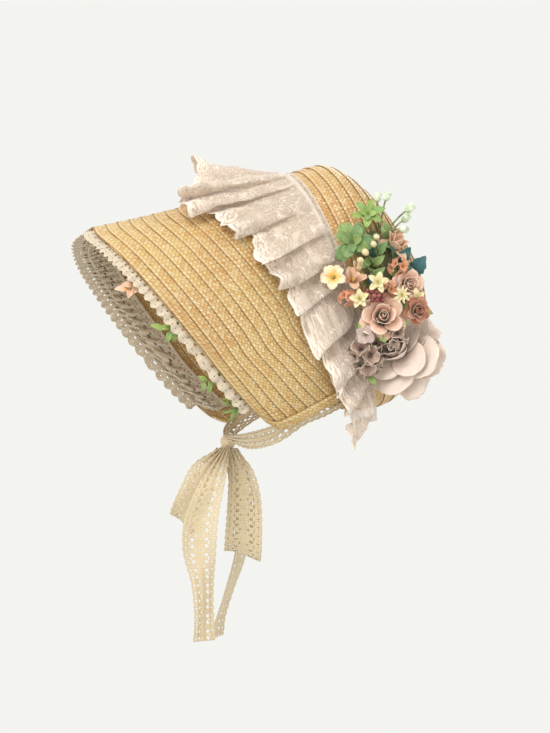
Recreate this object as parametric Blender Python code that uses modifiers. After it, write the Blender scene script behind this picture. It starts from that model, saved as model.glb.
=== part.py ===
"""Straw poke bonnet with a gathered lace ruffle, a flower spray and lace ties.

+X is the wearer's left, -Y the front and +Z up.  The origin is the middle of the head opening,
where the crown meets the brim.  Tables are in millimetres and are scaled by MM.
"""
import math
from collections import namedtuple

import bmesh
import bpy
from mathutils import Matrix, Vector
from mathutils.bvhtree import BVHTree

MM = 0.001
GAP = 0.3 * MM

STRAW = 1.8 * MM
BRAID = 1.5 * MM
LACE = 1.2 * MM
COTTON = 1.4 * MM
PETAL = 1.0 * MM
FELT = 2.5 * MM
STEM_RADIUS = 1.2 * MM
WIRE_RADIUS = 0.96 * MM

BRAID_WIDTH = 14 * MM
BAND_WIDTH = 13 * MM
RUFFLE_WIDTH_TOP = 82 * MM
RUFFLE_WIDTH_END = 36 * MM
RUFFLE_STAND = 34 * MM
RUFFLE_FOLDS = 20
RUFFLE_TAIL = 38 * MM
FRILL_INSIDE = 22 * MM
FRILL_BEYOND = 9 * MM
FRILL_PLEATS = 18
TIE_ABOVE_EDGE = 14 * MM
TIE_BELOW_EDGE = 13 * MM

VIEW_ANGLE = math.radians(18)
ALONG = Vector((math.sin(VIEW_ANGLE), math.cos(VIEW_ANGLE), 0))
OUT = Vector((math.cos(VIEW_ANGLE), -math.sin(VIEW_ANGLE), 0))
UP = Vector((0, 0, 1))

HOOP_COLUMNS = "top_y top_z low_y low_z waist half_width fullness low_fullness end_angle bow"
Hoop = namedtuple("Hoop", HOOP_COLUMNS)

BRIM = (
    Hoop(-29, 102, 44, -130, 0.56, 90, 2.1, 3.6, 121, 0),
    Hoop(-78, 86, 24, -146, 0.54, 96, 2.2, 3.3, 122, 3),
    Hoop(-126, 71, 4, -162, 0.52, 101, 2.35, 3.0, 124, 6),
    Hoop(-174, 58, -16, -176, 0.51, 104, 2.45, 2.7, 126, 9),
    Hoop(-221, 47, -36, -190, 0.50, 105, 2.5, 2.5, 127, 11),
)
CROWN = (
    Hoop(-29, 102, 44, -130, 0.56, 90, 2.1, 3.6, 180, 0),
    Hoop(-10, 110, 66, -125, 0.55, 94, 2.1, 3.2, 180, 0),
    Hoop(11, 114, 86, -112, 0.54, 95, 2.1, 2.7, 180, 0),
    Hoop(31, 104, 100, -92, 0.53, 91, 2.1, 2.4, 180, 0),
    Hoop(48, 88, 108, -70, 0.52, 82, 2.05, 2.2, 180, 0),
    Hoop(62, 70, 112, -47, 0.50, 68, 2.0, 2.0, 180, 0),
    Hoop(75, 52, 113, -25, 0.50, 48, 2.0, 2.0, 180, 0),
    Hoop(87, 36, 110, -4, 0.50, 25, 2.0, 2.0, 180, 0),
)
CROWN_TIP = Vector((0, 100, 17)) * MM

BRIM_DEPTH_CELLS = 10
BRIM_SIDE_CELLS = 24
CROWN_RINGS = 9
CROWN_SPOKES = 28
PAD_START = 0.06
PAD_RINGS = 4
PAD_SPOKES = (4, 11)
BRAID_START = 0.085
BAND_ON_CROWN = 0.03
CORNER_START = 0.86
CORNER_CUT = 0.06

KNOT = Vector((0, -86, -161)) * MM
KNOT_SIZE = Vector((8.2, 7.2, 7.2)) * MM

# How far each layer stands off the straw below it.
SEAM_CLEARANCE = 0.9 * MM
BRAID_LIFT = GAP * 1.5 + BRAID
BAND_LIFT = 0.7 * MM + LACE
RUFFLE_LIFT = BAND_LIFT + 0.9 * MM + LACE
FRILL_LIFT = STRAW + 1.3 * MM
FRILL_WAVE = 3.2 * MM
PAD_LIFT = 0.6 * MM + FELT
STEM_INTO_PAD = 2.4 * MM
HEART_SIZE = 7 * MM

# Where each tie runs inside the brim: how far forward, and how far in from the straw.
TIE_INSIDE = ((0.10, 1.6), (0.30, 3.0), (0.52, 4.0), (0.74, 6.0))

# Ribbon rows in the side view's own directions: along, up, out, the width and how the width lies.
Lay = namedtuple("Lay", "along up out width across_along across_up across_out")

BOW_LOOP_FRONT = (
    Lay(-86, -166.8, 30.8, 6, 0.87, -0.40, 0.0),
    Lay(-103, -186, 47, 25, 0.87, -0.42, 0.0),
    Lay(-114, -212, 50, 32, 0.80, -0.60, 0.0),
    Lay(-124, -233, 42, 31, 0.70, -0.70, 0.0),
    Lay(-126, -240, 33, 30, 0.70, -0.70, 0.0),
    Lay(-122, -232, 25, 30, 0.72, -0.68, 0.0),
    Lay(-108, -206, 23, 27, 0.80, -0.60, 0.0),
    Lay(-89.5, -167.6, 25, 7, 0.87, -0.40, 0.0),
)
BOW_LOOP_BACK = (
    Lay(-77.5, -167, 30.9, 6, 0.98, 0.15, 0.0),
    Lay(-68, -190, 36, 24, 0.98, 0.12, 0.0),
    Lay(-65, -220, 36, 34, 0.98, 0.06, 0.0),
    Lay(-66, -258, 31, 38, 0.97, -0.22, 0.0),
    Lay(-67, -272, 22, 38, 0.97, -0.25, 0.0),
    Lay(-66, -262, 13, 37, 0.97, -0.20, 0.0),
    Lay(-66, -225, 9, 33, 0.98, 0.0, 0.0),
    Lay(-71, -188, 13, 20, 0.98, 0.1, 0.0),
    Lay(-74.6, -168, 25, 6, 0.98, 0.15, 0.0),
)
TIE_TAIL_FRONT = (
    Lay(-82, -165.4, 34, 6, 1.0, 0.1, 0.0),
    Lay(-95, -196, 60, 26, 1.0, 0.15, -0.1),
    Lay(-106, -232, 64, 34, 1.0, 0.1, -0.1),
    Lay(-108, -264, 63, 33, 1.0, 0.05, -0.15),
    Lay(-105, -296, 60, 24, 0.9, 0.0, -0.4),
    Lay(-104, -326, 58, 22, 0.85, 0.0, -0.5),
    Lay(-104, -352, 57, 24, 0.85, 0.0, -0.5),
)
TIE_TAIL_BACK = (
    Lay(-81.4, -166.1, 19.4, 6, 0.9, 0.0, -0.4),
    Lay(-74, -200, -6, 24, 0.6, 0.0, -0.8),
    Lay(-69, -240, -14, 32, 0.3, 0.0, -0.95),
    Lay(-72, -280, -14, 34, 0.3, 0.0, -0.95),
    Lay(-82, -312, -10, 34, 0.3, 0.0, -0.95),
    Lay(-92, -340, -6, 34, 0.3, 0.0, -0.95),
    Lay(-94, -358, -4, 34, 0.3, 0.0, -0.95),
)

# Blossoms: place of the middle, where the stem stands, how it faces, and the petals' cup.
BLOOM_COLUMNS = (
    "name along up out foot_along foot_up face_along face_up radius cup petals notch colour"
)
Bloom = namedtuple("Bloom", BLOOM_COLUMNS)

MAUVE_PINK = (0.62, 0.42, 0.38)
BEIGE_PINK = (0.60, 0.40, 0.33)
DEEP_MAUVE = (0.42, 0.25, 0.22)
RUST = (0.55, 0.25, 0.13)
MAUVE_BROWN = (0.40, 0.26, 0.23)
PLUM = (0.22, 0.06, 0.08)
STAR_CREAM = (0.80, 0.62, 0.34)
CORAL = (0.62, 0.22, 0.12)
PEACH = (0.75, 0.47, 0.28)
SALMON = (0.68, 0.40, 0.24)
LEAF_LIGHT = (0.22, 0.46, 0.14)
LEAF_GREEN = (0.12, 0.30, 0.09)
LEAF_TEAL = (0.05, 0.13, 0.10)
BUD_WHITE = (0.62, 0.72, 0.48)
BUD_CREAM = (0.78, 0.66, 0.42)
STEM_GREEN = (0.16, 0.20, 0.08)
STRAW_GOLD = (0.72, 0.45, 0.14)
STRAW_DEEP = (0.66, 0.40, 0.12)
ORGANZA = (0.72, 0.56, 0.46)
CREAM_LACE = (0.76, 0.62, 0.44)
ECRU_LACE = (0.78, 0.64, 0.40)

BLOOMS = (
    Bloom("rose_small", 66, -40, 108, 60, -32, 0.15, 0.0, 19, 9, 6, 0.12, BEIGE_PINK),
    Bloom("rose_back", 91, -9, 84, 88, -6, 0.35, 0.1, 13, 8, 6, 0.12, BEIGE_PINK),
    Bloom("rust_rose", 98, -34, 108, 92, -26, 0.35, 0.0, 11, 6, 6, 0.15, RUST),
    Bloom("hydrangea_low", 52, -71, 101, 66, -60, 0.0, -0.1, 15, 4, 7, 0.25, MAUVE_BROWN),
    Bloom("hydrangea_high", 75, -64, 118, 64, -50, 0.1, 0.0, 12, 4, 7, 0.25, DEEP_MAUVE),
    Bloom("mauve_petal", 50, -57, 110, 62, -45, -0.2, 0.0, 8, 3, 5, 0.15, MAUVE_PINK),
    Bloom("star_blossom_1", 61, -8, 118, 62, -4, 0.0, 0.1, 10, 2, 5, 0.5, STAR_CREAM),
    Bloom("star_blossom_2", 44, -23, 116, 54, -21, -0.1, 0.0, 9, 2, 5, 0.5, STAR_CREAM),
    Bloom("star_blossom_3", 83, -20, 116, 78, -18, 0.1, 0.1, 8, 2, 6, 0.5, STAR_CREAM),
    Bloom("star_blossom_4", 99, -22, 98, 95, -18, 0.3, 0.1, 8, 2, 5, 0.5, STAR_CREAM),
    Bloom("coral_blossom_1", 83, 8, 90, 82, 8, 0.2, 0.3, 9, 2, 5, 0.4, CORAL),
    Bloom("coral_blossom_2", 71, -14, 106, 71, -12, 0.1, 0.1, 8, 2, 5, 0.4, CORAL),
    Bloom("coral_blossom_3", 33, -22, 106, 54, -14, 0.0, 0.0, 8, 2, 5, 0.4, CORAL),
    Bloom("plumeria", 20, -3, 108, 46, 4, -0.2, 0.1, 12, 4, 5, 0.45, PEACH),
    Bloom("peach_blossom", 36, -5, 100, 49, -2, 0.0, 0.1, 10, 4, 5, 0.3, PEACH),
    Bloom("peach_bud", 42, 6, 96, 50, 10, 0.0, 0.4, 6, 7, 4, 0.2, PEACH),
    Bloom("tulip", 78, 31, 80, 74, 27, 0.4, 0.3, 10, 8, 5, 0.3, SALMON),
    Bloom("leaf_rosette_light", 54, 59, 80, 54, 54, 0.0, 0.3, 16, 3, 6, 0.62, LEAF_LIGHT),
    Bloom("leaf_rosette_dark", 38, 31, 95, 40, 34, -0.1, 0.1, 15, 3, 6, 0.55, LEAF_GREEN),
)

# Leaves: where each starts and ends, its width and its stem's foot.
Leaf = namedtuple("Leaf", "name along up out tip_along tip_up tip_out width colour")
LEAVES = (
    Leaf("leaf_green", 60, 21, 86, 71, 30, 96, 10, LEAF_GREEN),
    Leaf("leaf_teal", 84, 14, 78, 93, 26, 82, 12, LEAF_TEAL),
    Leaf("ivy_leaf", 97, 4, 70, 107, 18, 76, 16, LEAF_TEAL),
)

# Buds on wires: the bud's place, the wire's foot and the bud's half sizes.
Bud = namedtuple("Bud", "name along up out foot_along foot_up half_width half_height colour")
BUDS = (
    Bud("cup_bud_1", 72, 76, 74, 62, 52, 3.6, 4.4, BUD_WHITE),
    Bud("cup_bud_2", 64, 76, 62, 61, 56, 3.4, 4.2, BUD_WHITE),
    Bud("cup_bud_3", 94, 65, 70, 70, 42, 3.8, 4.6, BUD_WHITE),
    Bud("cup_bud_4", 91, 56, 60, 73, 38, 3.4, 4.2, BUD_WHITE),
    Bud("cup_bud_5", 87, 44, 84, 68, 48, 3.4, 4.2, BUD_WHITE),
    Bud("cream_bud_1", 61, 36, 90, 62, 38, 3.4, 4.2, BUD_CREAM),
    Bud("cream_bud_2", 50, 21, 104, 57, 20, 3.4, 4.2, BUD_CREAM),
    Bud("cream_bud_3", 58, 29, 98, 58, 30, 3.2, 4.0, BUD_CREAM),
    Bud("cream_bud_4", 45, 13, 108, 55, 18, 3.4, 4.2, BUD_CREAM),
)

PEONY_MIDDLE = (96, -72, 72)
PEONY_FOOT = (88, -66)
PEONY_FACING = (1.0, -0.75)
PeonyRow = namedtuple("PeonyRow", "name radius cup petals notch colour")
PEONY_ROWS = (
    PeonyRow("peony_outer", 46, 12, 7, 0.16, MAUVE_PINK),
    PeonyRow("peony_middle", 36, 17, 6, 0.14, MAUVE_PINK),
    PeonyRow("peony_inner", 24, 19, 5, 0.14, DEEP_MAUVE),
)

BERRIES = (
    (58, -16, 114), (54, -19, 115), (61, -15, 113), (56, -14, 112), (61, -19, 115), (52, -15, 112),
)
BERRY_MIDDLE = Vector((57, -17, 110))
BERRY_RADIUS = 3.0

# Sprigs inside the front edge: how far round the arch, and how long.
Sprig = namedtuple("Sprig", "name side inside beyond width colour")
SPRIGS = (
    Sprig("sprig_high", 0.47, 20, 12, 9, PEACH),
    Sprig("sprig_middle", 0.66, 14, 14, 8, LEAF_LIGHT),
    Sprig("sprig_low", 0.87, 10, 15, 7, LEAF_LIGHT),
)


def clear_scene():
    for item in list(bpy.data.objects):
        bpy.data.objects.remove(item, do_unlink=True)


def new_collection(name):
    collection = bpy.data.collections.new(name)
    bpy.context.scene.collection.children.link(collection)
    return collection


clear_scene()
PARTS = new_collection("straw_bonnet")
HELPERS = new_collection("helpers")


def finish(item, colour, roughness=0.75):
    """Give the object its own material."""
    surface = bpy.data.materials.new(item.name + "_surface")
    surface.use_nodes = True
    shader = surface.node_tree.nodes["Principled BSDF"]
    shader.inputs["Base Color"].default_value = (*colour, 1)
    shader.inputs["Roughness"].default_value = roughness
    shader.inputs["Metallic"].default_value = 0
    item.data.materials.clear()
    item.data.materials.append(surface)
    for face in item.data.polygons:
        face.use_smooth = True
    return item


def blend(before, start, end, after, share):
    """One value of a smooth curve through start and end."""
    slope = (end - before) / 2
    next_slope = (after - start) / 2
    rise = end - start
    bend = 3 * rise - 2 * slope - next_slope
    turn = slope + next_slope - 2 * rise
    return start + slope * share + bend * share ** 2 + turn * share ** 3


def row_at(table, place):
    """The table's row at a place from 0 to 1, on a smooth curve through the rows."""
    last = len(table) - 1
    span = min(max(place, 0), 1) * last
    index = min(int(span), last - 1)
    start = table[index]
    end = table[index + 1]
    before = table[index - 1] if index > 0 else [2 * a - b for a, b in zip(start, end)]
    after = table[index + 2] if index + 2 <= last else [2 * b - a for a, b in zip(start, end)]
    return type(start)(*(blend(*values, span - index) for values in zip(before, start, end, after)))


def signed_power(value, power):
    return math.copysign(abs(value) ** power, value)


def hoop_point(hoop, angle, forward_shift=0.0):
    """A point of the hoop; the angle runs from the top, positive to the wearer's left."""
    top = Vector((0, hoop.top_y, hoop.top_z)) * MM
    low = Vector((0, hoop.low_y, hoop.low_z)) * MM
    up = (top - low).normalized()
    forward = Vector((0, -up.z, up.y))
    height = (top - low).length
    centre = top - up * height * hoop.waist
    lower = math.cos(angle) < 0
    power = 2 / (hoop.low_fullness if lower else hoop.fullness)
    reach = height * (1 - hoop.waist if lower else hoop.waist)
    across = hoop.half_width * MM * signed_power(math.sin(angle), power)
    rise = reach * signed_power(math.cos(angle), power)
    return centre + Vector((across, 0, 0)) + up * rise + forward * forward_shift


def brim_point(depth, side):
    """The brim's outer face: depth 0 at the seam to 1 in front, side -1 to 1 from end to end."""
    hoop = row_at(BRIM, depth)
    corner = max(0, (depth - CORNER_START) / (1 - CORNER_START))
    angle = math.radians(hoop.end_angle) * side * (1 - CORNER_CUT * corner ** 2)
    away = abs(side) ** 2.5 * 1.015 / (abs(side) ** 1.5 + 0.015)
    flat = 1 - abs(2 * away ** 0.8 - 1) ** 4
    return hoop_point(hoop, angle, hoop.bow * MM * flat)


def crown_point(depth, angle):
    """The crown's outer face: depth 0 at the seam to 1 at the smallest hoop."""
    return hoop_point(row_at(CROWN, depth), angle)


def brim_normal(depth, side):
    step = 0.004
    inner = min(depth, 1 - step)
    along_side = brim_point(inner, side + step) - brim_point(inner, side - step)
    along_depth = brim_point(inner + step, side) - brim_point(max(inner - step, 0), side)
    return along_depth.cross(along_side).normalized()


def crown_normal(depth, angle):
    step = 0.01
    round_it = crown_point(depth, angle + step) - crown_point(depth, angle - step)
    along_depth = crown_point(depth + step, angle) - crown_point(max(depth - step, 0), angle)
    return round_it.cross(along_depth).normalized()


def brim_length(side):
    points = [brim_point(k / 8, side) for k in range(9)]
    return sum((b - a).length for a, b in zip(points, points[1:]))


def brim_offset(side, distance, lift):
    """A point a distance forward of the seam, lifted off the brim; past the edge it runs straight on."""
    length = brim_length(side)
    depth = min(distance / length, 1)
    point = brim_point(depth, side) + brim_normal(depth, side) * lift
    beyond = distance - length
    if beyond > 0:
        point += (brim_point(1, side) - brim_point(0.97, side)).normalized() * beyond
    return point


def grid_mesh(name, rows, closed=False, tip=None, holes=()):
    """A sheet through rows of points; closed joins each row's ends, tip closes the last row."""
    mesh = bpy.data.meshes.new(name)
    build = bmesh.new()
    grid = [[build.verts.new(point) for point in row] for row in rows]
    count = len(rows[0])
    steps = count if closed else count - 1
    for i in range(len(rows) - 1):
        for j in range(steps):
            if (i, j) in holes:
                continue
            k = (j + 1) % count
            build.faces.new((grid[i][j], grid[i + 1][j], grid[i + 1][k], grid[i][k]))
    if tip is not None:
        point = build.verts.new(tip)
        for j in range(steps):
            build.faces.new((grid[-1][j], point, grid[-1][(j + 1) % count]))
    loose = [vert for vert in build.verts if not vert.link_faces]
    bmesh.ops.delete(build, geom=loose, context="VERTS")
    bmesh.ops.triangulate(build, faces=build.faces[:])
    build.to_mesh(mesh)
    build.free()
    return mesh


def thicken(item, thickness, offset=-1):
    """Solidify the sheet; offset -1 keeps its own face on the outside, 0 in the middle."""
    shell = item.modifiers.new("thickness", "SOLIDIFY")
    shell.thickness = thickness
    shell.offset = offset
    shell.use_even_offset = False
    return item


def add_part(name, mesh):
    item = bpy.data.objects.new(name, mesh)
    PARTS.objects.link(item)
    return item


def sheet(name, rows, thickness, colour, offset=-1, flip=False, **shape):
    mesh = grid_mesh(name, rows, **shape)
    if flip:
        mesh.flip_normals()
    return finish(thicken(add_part(name, mesh), thickness, offset), colour)


def evaluated_copy(item):
    """The object's mesh with its modifiers, in world space."""
    bpy.context.view_layer.update()
    graph = bpy.context.evaluated_depsgraph_get()
    mesh = bpy.data.meshes.new_from_object(item.evaluated_get(graph))
    mesh.transform(item.matrix_world)
    return mesh


def side_samples(width):
    """Places from end to end of the arch, with one cell of the given width at each end."""
    last = 1 - width / arch_half_length()
    inner = [last * (2 * k / (BRIM_SIDE_CELLS - 2) - 1) for k in range(BRIM_SIDE_CELLS - 1)]
    return [-1.0] + inner + [1.0]


def arch_half_length():
    points = [brim_point(0.5, k / 20) for k in range(21)]
    return sum((b - a).length for a, b in zip(points, points[1:]))


def depth_samples():
    return [k / BRIM_DEPTH_CELLS for k in range(BRIM_DEPTH_CELLS + 1)]


def seam_forward():
    """Unit direction out of the head opening, towards the face."""
    hoop = BRIM[0]
    up = Vector((0, hoop.top_y - hoop.low_y, hoop.top_z - hoop.low_z)).normalized()
    return Vector((0, -up.z, up.y))


def make_brim():
    rows = []
    for depth in depth_samples():
        shift = seam_forward() * SEAM_CLEARANCE * (1 - depth)
        rows.append([brim_point(depth, side) + shift for side in side_samples(BRAID_WIDTH)])
    return sheet("brim", rows, STRAW, STRAW_GOLD)


def make_crown():
    rows = []
    for k in range(CROWN_RINGS):
        depth = k / (CROWN_RINGS - 1)
        rows.append([crown_point(depth, 2 * math.pi * j / CROWN_SPOKES) for j in range(CROWN_SPOKES)])
    return sheet("crown", rows, STRAW, STRAW_GOLD, flip=True, closed=True, tip=CROWN_TIP)


def make_neck_braid(name, hand):
    """The braid sewn on the outside along one neck edge; hand is 1 on the wearer's left."""
    sides = side_samples(BRAID_WIDTH)[-2:]
    rows = []
    for depth in depth_samples():
        depth = max(depth, BRAID_START)
        row = []
        for side in sides:
            place = hand * side
            row.append(brim_point(depth, place) + brim_normal(depth, place) * BRAID_LIFT)
        rows.append(row)
    return sheet(name, rows, BRAID, STRAW_DEEP, flip=hand < 0)


def band_rows(lift, samples):
    """Three rows along the seam: on the crown, over the seam and on the brim."""
    behind = []
    middle = []
    front = []
    for side in samples:
        angle = math.radians(BRIM[0].end_angle) * side
        behind.append(crown_point(BAND_ON_CROWN, angle) + crown_normal(BAND_ON_CROWN, angle) * lift)
        middle.append(crown_point(0, angle) + brim_normal(0.01, side) * (lift + 0.3 * MM))
        front.append(brim_offset(side, BAND_WIDTH / 2, lift))
    return behind, middle, front


def make_ruffle_band():
    samples = [k / 16 - 1 for k in range(33)]
    return sheet("ruffle_band", band_rows(BAND_LIFT, samples), LACE, ORGANZA)


def ruffle_base(side, distance, lift):
    """The ruffle's ground: over the brim between the arch's ends, hanging straight below them."""
    inner = max(-1, min(1, side))
    point = brim_offset(inner, distance, lift)
    below = (abs(side) - abs(inner)) * arch_half_length()
    return point + Vector((0, 0.12, -1)) * below


def ruffle_width(side):
    return RUFFLE_WIDTH_END + (RUFFLE_WIDTH_TOP - RUFFLE_WIDTH_END) * max(0, 1 - abs(side) ** 1.3)


def make_lace_ruffle():
    reach = 1 + RUFFLE_TAIL / arch_half_length()
    columns = 4 * RUFFLE_FOLDS
    rows = []
    for share in (0.0, 0.18, 0.6, 1.0):
        row = []
        for k in range(columns + 1):
            side = reach * (2 * k / columns - 1)
            wave = 0.5 - 0.5 * math.cos(2 * math.pi * RUFFLE_FOLDS * k / columns)
            stand = RUFFLE_STAND * math.exp(-(side / 0.26) ** 2) * share ** 1.2
            lift = RUFFLE_LIFT + wave * (1.0 + 11 * share) * MM + stand
            droop = side * share * 0.10
            place = side + droop if abs(side) < 0.9 else side
            row.append(ruffle_base(place, 2 * MM + ruffle_width(side) * share, lift))
        rows.append(row)
    return sheet("lace_ruffle", rows, LACE, ORGANZA)


def make_brim_frill():
    columns = 4 * FRILL_PLEATS
    limit = 0.93
    rows = []
    for share in (0.0, 0.45, 0.72, 1.0):
        row = []
        for k in range(columns + 1):
            side = limit * (2 * k / columns - 1)
            wave = 0.5 - 0.5 * math.cos(2 * math.pi * FRILL_PLEATS * k / columns)
            depth = FRILL_LIFT + wave * FRILL_WAVE * (0.35 + 0.65 * share)
            distance = brim_length(side) - FRILL_INSIDE + (FRILL_INSIDE + FRILL_BEYOND) * share
            row.append(brim_offset(side, distance, -depth))
        rows.append(row)
    holes = {(1, j) for j in range(1, columns - 1, 2)}
    return sheet("brim_frill", rows, LACE, CREAM_LACE, holes=holes)


def ribbon_cells(pairs, steps, across):
    """Rows between two edges, smooth along; across lists the places from edge to edge."""
    rows = []
    for k in range(steps + 1):
        values = row_at(pairs, k / steps)
        rows.append([values.first().lerp(values.second(), share) for share in across])
    return rows


class Pair(namedtuple("Pair", "ax ay az bx by bz")):
    """Two edge points of a ribbon."""

    def first(self):
        return Vector((self.ax, self.ay, self.az))

    def second(self):
        return Vector((self.bx, self.by, self.bz))


RIBBON_SHARES = (0.0, 0.36, 0.64, 1.0)


def ribbon_holes(steps):
    return {(i, 1) for i in range(2, steps - 1, 2)}


def make_tie(name, hand):
    """One tie, from the seam along the neck edge to the knot; hand is 1 on the wearer's left."""
    pairs = []
    half = arch_half_length()
    for depth, gap in TIE_INSIDE:
        inset = STRAW + gap * MM
        upper_side = 1 - TIE_ABOVE_EDGE / half
        upper = brim_point(depth, upper_side) - brim_normal(depth, upper_side) * inset
        edge = brim_point(depth, 1) - brim_normal(depth, 1) * inset
        lower = edge + (edge - upper).normalized() * TIE_BELOW_EDGE
        pairs.append(Pair(*upper, *lower))
    pairs.append(Pair(*Vector((77, -62, -141)) * MM, *Vector((72, -60, -160)) * MM))
    pairs.append(Pair(*Vector((42, -77, -150)) * MM, *Vector((39, -75, -166)) * MM))
    pairs.append(Pair(*Vector((8.3, -86, -154)) * MM, *Vector((8.3, -86, -160)) * MM))
    steps = 14
    rows = ribbon_cells(pairs, steps, RIBBON_SHARES)
    rows = [[Vector((hand * p.x, p.y, p.z)) for p in row] for row in rows]
    return sheet(name, rows, COTTON, ECRU_LACE, offset=0, holes=ribbon_holes(steps))


def seen(along, up, out):
    """A point given in the side view's directions, in millimetres."""
    return (ALONG * along + UP * up + OUT * out) * MM


def make_hanging_ribbon(name, table, steps):
    pairs = []
    for lay in table:
        middle = seen(lay.along, lay.up, lay.out)
        across = seen(lay.across_along, lay.across_up, lay.across_out).normalized() * lay.width * MM / 2
        pairs.append(Pair(*(middle - across), *(middle + across)))
    rows = ribbon_cells(pairs, steps, RIBBON_SHARES)
    return sheet(name, rows, COTTON, ECRU_LACE, offset=0, holes=ribbon_holes(steps))


def make_knot():
    bpy.ops.mesh.primitive_uv_sphere_add(segments=12, ring_count=8, radius=1)
    item = bpy.context.object
    item.name = "bow_knot"
    item.data.transform(Matrix.Translation(KNOT) @ Matrix.Diagonal((*KNOT_SIZE, 1)))
    move_to(item, PARTS)
    return finish(item, ECRU_LACE)


def move_to(item, collection):
    for owner in list(item.users_collection):
        owner.objects.unlink(item)
    collection.objects.link(item)


def bloom_rows(middle, facing, radius, cup, petals, notch, rings):
    """Rings of a cupped blossom, from its outline to its heart, with the heart's own point."""
    turn = facing.to_track_quat("Z", "Y").to_matrix()
    points_round = petals * 4 if radius > 18 * MM else petals * 2
    rows = []
    for ring in range(rings, 0, -1):
        share = ring / rings
        row = []
        for k in range(points_round):
            angle = 2 * math.pi * k / points_round
            lobe = 1 - notch * share * (0.5 + 0.5 * math.cos(petals * angle))
            reach = radius * share * lobe
            local = Vector((reach * math.cos(angle), reach * math.sin(angle), cup * share ** 2))
            row.append(middle + turn @ local)
        rows.append(row)
    return rows


def add_bloom(name, middle, facing, radius, cup, petals, notch, colour, rings=2):
    rows = bloom_rows(middle, facing, radius, cup, petals, notch, rings)
    mesh = grid_mesh(name, rows, closed=True, tip=middle)
    item = thicken(add_part(name, mesh), PETAL, 0)
    return finish(item, colour)


def facing_of(face_along, face_up):
    return (OUT + ALONG * face_along + UP * face_up).normalized()


def ground_of(item):
    """The item's evaluated surface, to find where a stem stands."""
    mesh = evaluated_copy(item)
    tree = BVHTree.FromPolygons([v.co for v in mesh.vertices], [list(p.vertices) for p in mesh.polygons])
    bpy.data.meshes.remove(mesh)
    return tree


def foot_on(tree, along, up):
    start = seen(along, up, 300)
    return tree.ray_cast(start, -OUT)[0]


def make_pad():
    """The felt pad that follows the crown where the spray sits."""
    rows = []
    for depth in [PAD_START] + [k / (CROWN_RINGS - 1) for k in range(1, PAD_RINGS + 1)]:
        row = []
        for spoke in range(*PAD_SPOKES):
            angle = 2 * math.pi * spoke / CROWN_SPOKES
            row.append(crown_point(depth, angle) + crown_normal(depth, angle) * PAD_LIFT)
        rows.append(row)
    return sheet("spray_base", rows, FELT, STEM_GREEN, flip=True)


def add_rod(name, start, end, radius):
    """A helper rod between two points, to be joined to the pad."""
    length = (end - start).length
    bpy.ops.mesh.primitive_cylinder_add(vertices=4, radius=radius, depth=length)
    rod = bpy.context.object
    rod.name = name
    turn = (end - start).to_track_quat("Z", "Y").to_matrix().to_4x4()
    rod.data.transform(Matrix.Translation((start + end) / 2) @ turn)
    hide_helper(rod)
    return rod


def hide_helper(item):
    move_to(item, HELPERS)
    item.hide_render = True
    item.display_type = "WIRE"


def stem_to(tree, stems, name, along, up, foot_along, foot_up, out, facing, rod_radius=STEM_RADIUS):
    """A stem from inside the pad to just under the blossom at the given place."""
    middle = seen(along, up, out)
    foot = foot_on(tree, foot_along, foot_up)
    if foot is None:
        raise ValueError("no pad under the stem of " + name)
    heading = (middle - foot).normalized()
    slant = math.sqrt(max(0, 1 - heading.dot(facing) ** 2))
    end = middle - facing * (PETAL / 2 + GAP + rod_radius * slant)
    rod = add_rod(name + "_stem", foot - (end - foot).normalized() * STEM_INTO_PAD, end, rod_radius)
    move_to(rod, stems)
    return rod


def join_helpers(item, helpers):
    """Join a collection of helpers to the item with an exact union."""
    union = item.modifiers.new("join", "BOOLEAN")
    union.operation = "UNION"
    union.solver = "EXACT"
    union.operand_type = "COLLECTION"
    union.collection = helpers


def helper_collection(name):
    collection = bpy.data.collections.new(name)
    HELPERS.children.link(collection)
    return collection


def make_spray():
    pad = make_pad()
    ground = ground_of(pad)
    stems = helper_collection("stems")
    for bloom in BLOOMS:
        facing = facing_of(bloom.face_along, bloom.face_up)
        rings = 3 if bloom.radius > 14 else 2
        middle = seen(bloom.along, bloom.up, bloom.out)
        add_bloom(bloom.name, middle, facing, bloom.radius * MM, bloom.cup * MM, bloom.petals,
                  bloom.notch, bloom.colour, rings)
        stem_to(ground, stems, bloom.name, bloom.along, bloom.up, bloom.foot_along, bloom.foot_up,
                bloom.out, facing)
    make_peony(ground, stems)
    make_leaves(ground, stems)
    make_buds(ground, stems)
    make_berries(ground, stems)
    join_helpers(pad, stems)


def make_peony(ground, stems):
    facing = facing_of(*PEONY_FACING)
    middle = seen(*PEONY_MIDDLE)
    stem_to(ground, stems, "peony", *PEONY_MIDDLE[:2], *PEONY_FOOT, PEONY_MIDDLE[2], facing)
    step = PETAL + GAP * 1.5
    for index, row in enumerate(PEONY_ROWS):
        add_bloom(row.name, middle + facing * step * index, facing, row.radius * MM, row.cup * MM,
                  row.petals, row.notch, row.colour, rings=3)
    heart = middle + facing * (step * len(PEONY_ROWS) + HEART_SIZE * 0.9)
    add_ball("peony_heart", heart, Vector((HEART_SIZE, HEART_SIZE, HEART_SIZE)), DEEP_MAUVE)


def add_ball(name, middle, half_sizes, colour, segments=6, rings=4):
    bpy.ops.mesh.primitive_uv_sphere_add(segments=segments, ring_count=rings, radius=1)
    item = bpy.context.object
    item.name = name
    item.data.transform(Matrix.Translation(middle) @ Matrix.Diagonal((*half_sizes, 1)))
    move_to(item, PARTS)
    return finish(item, colour)


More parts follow.
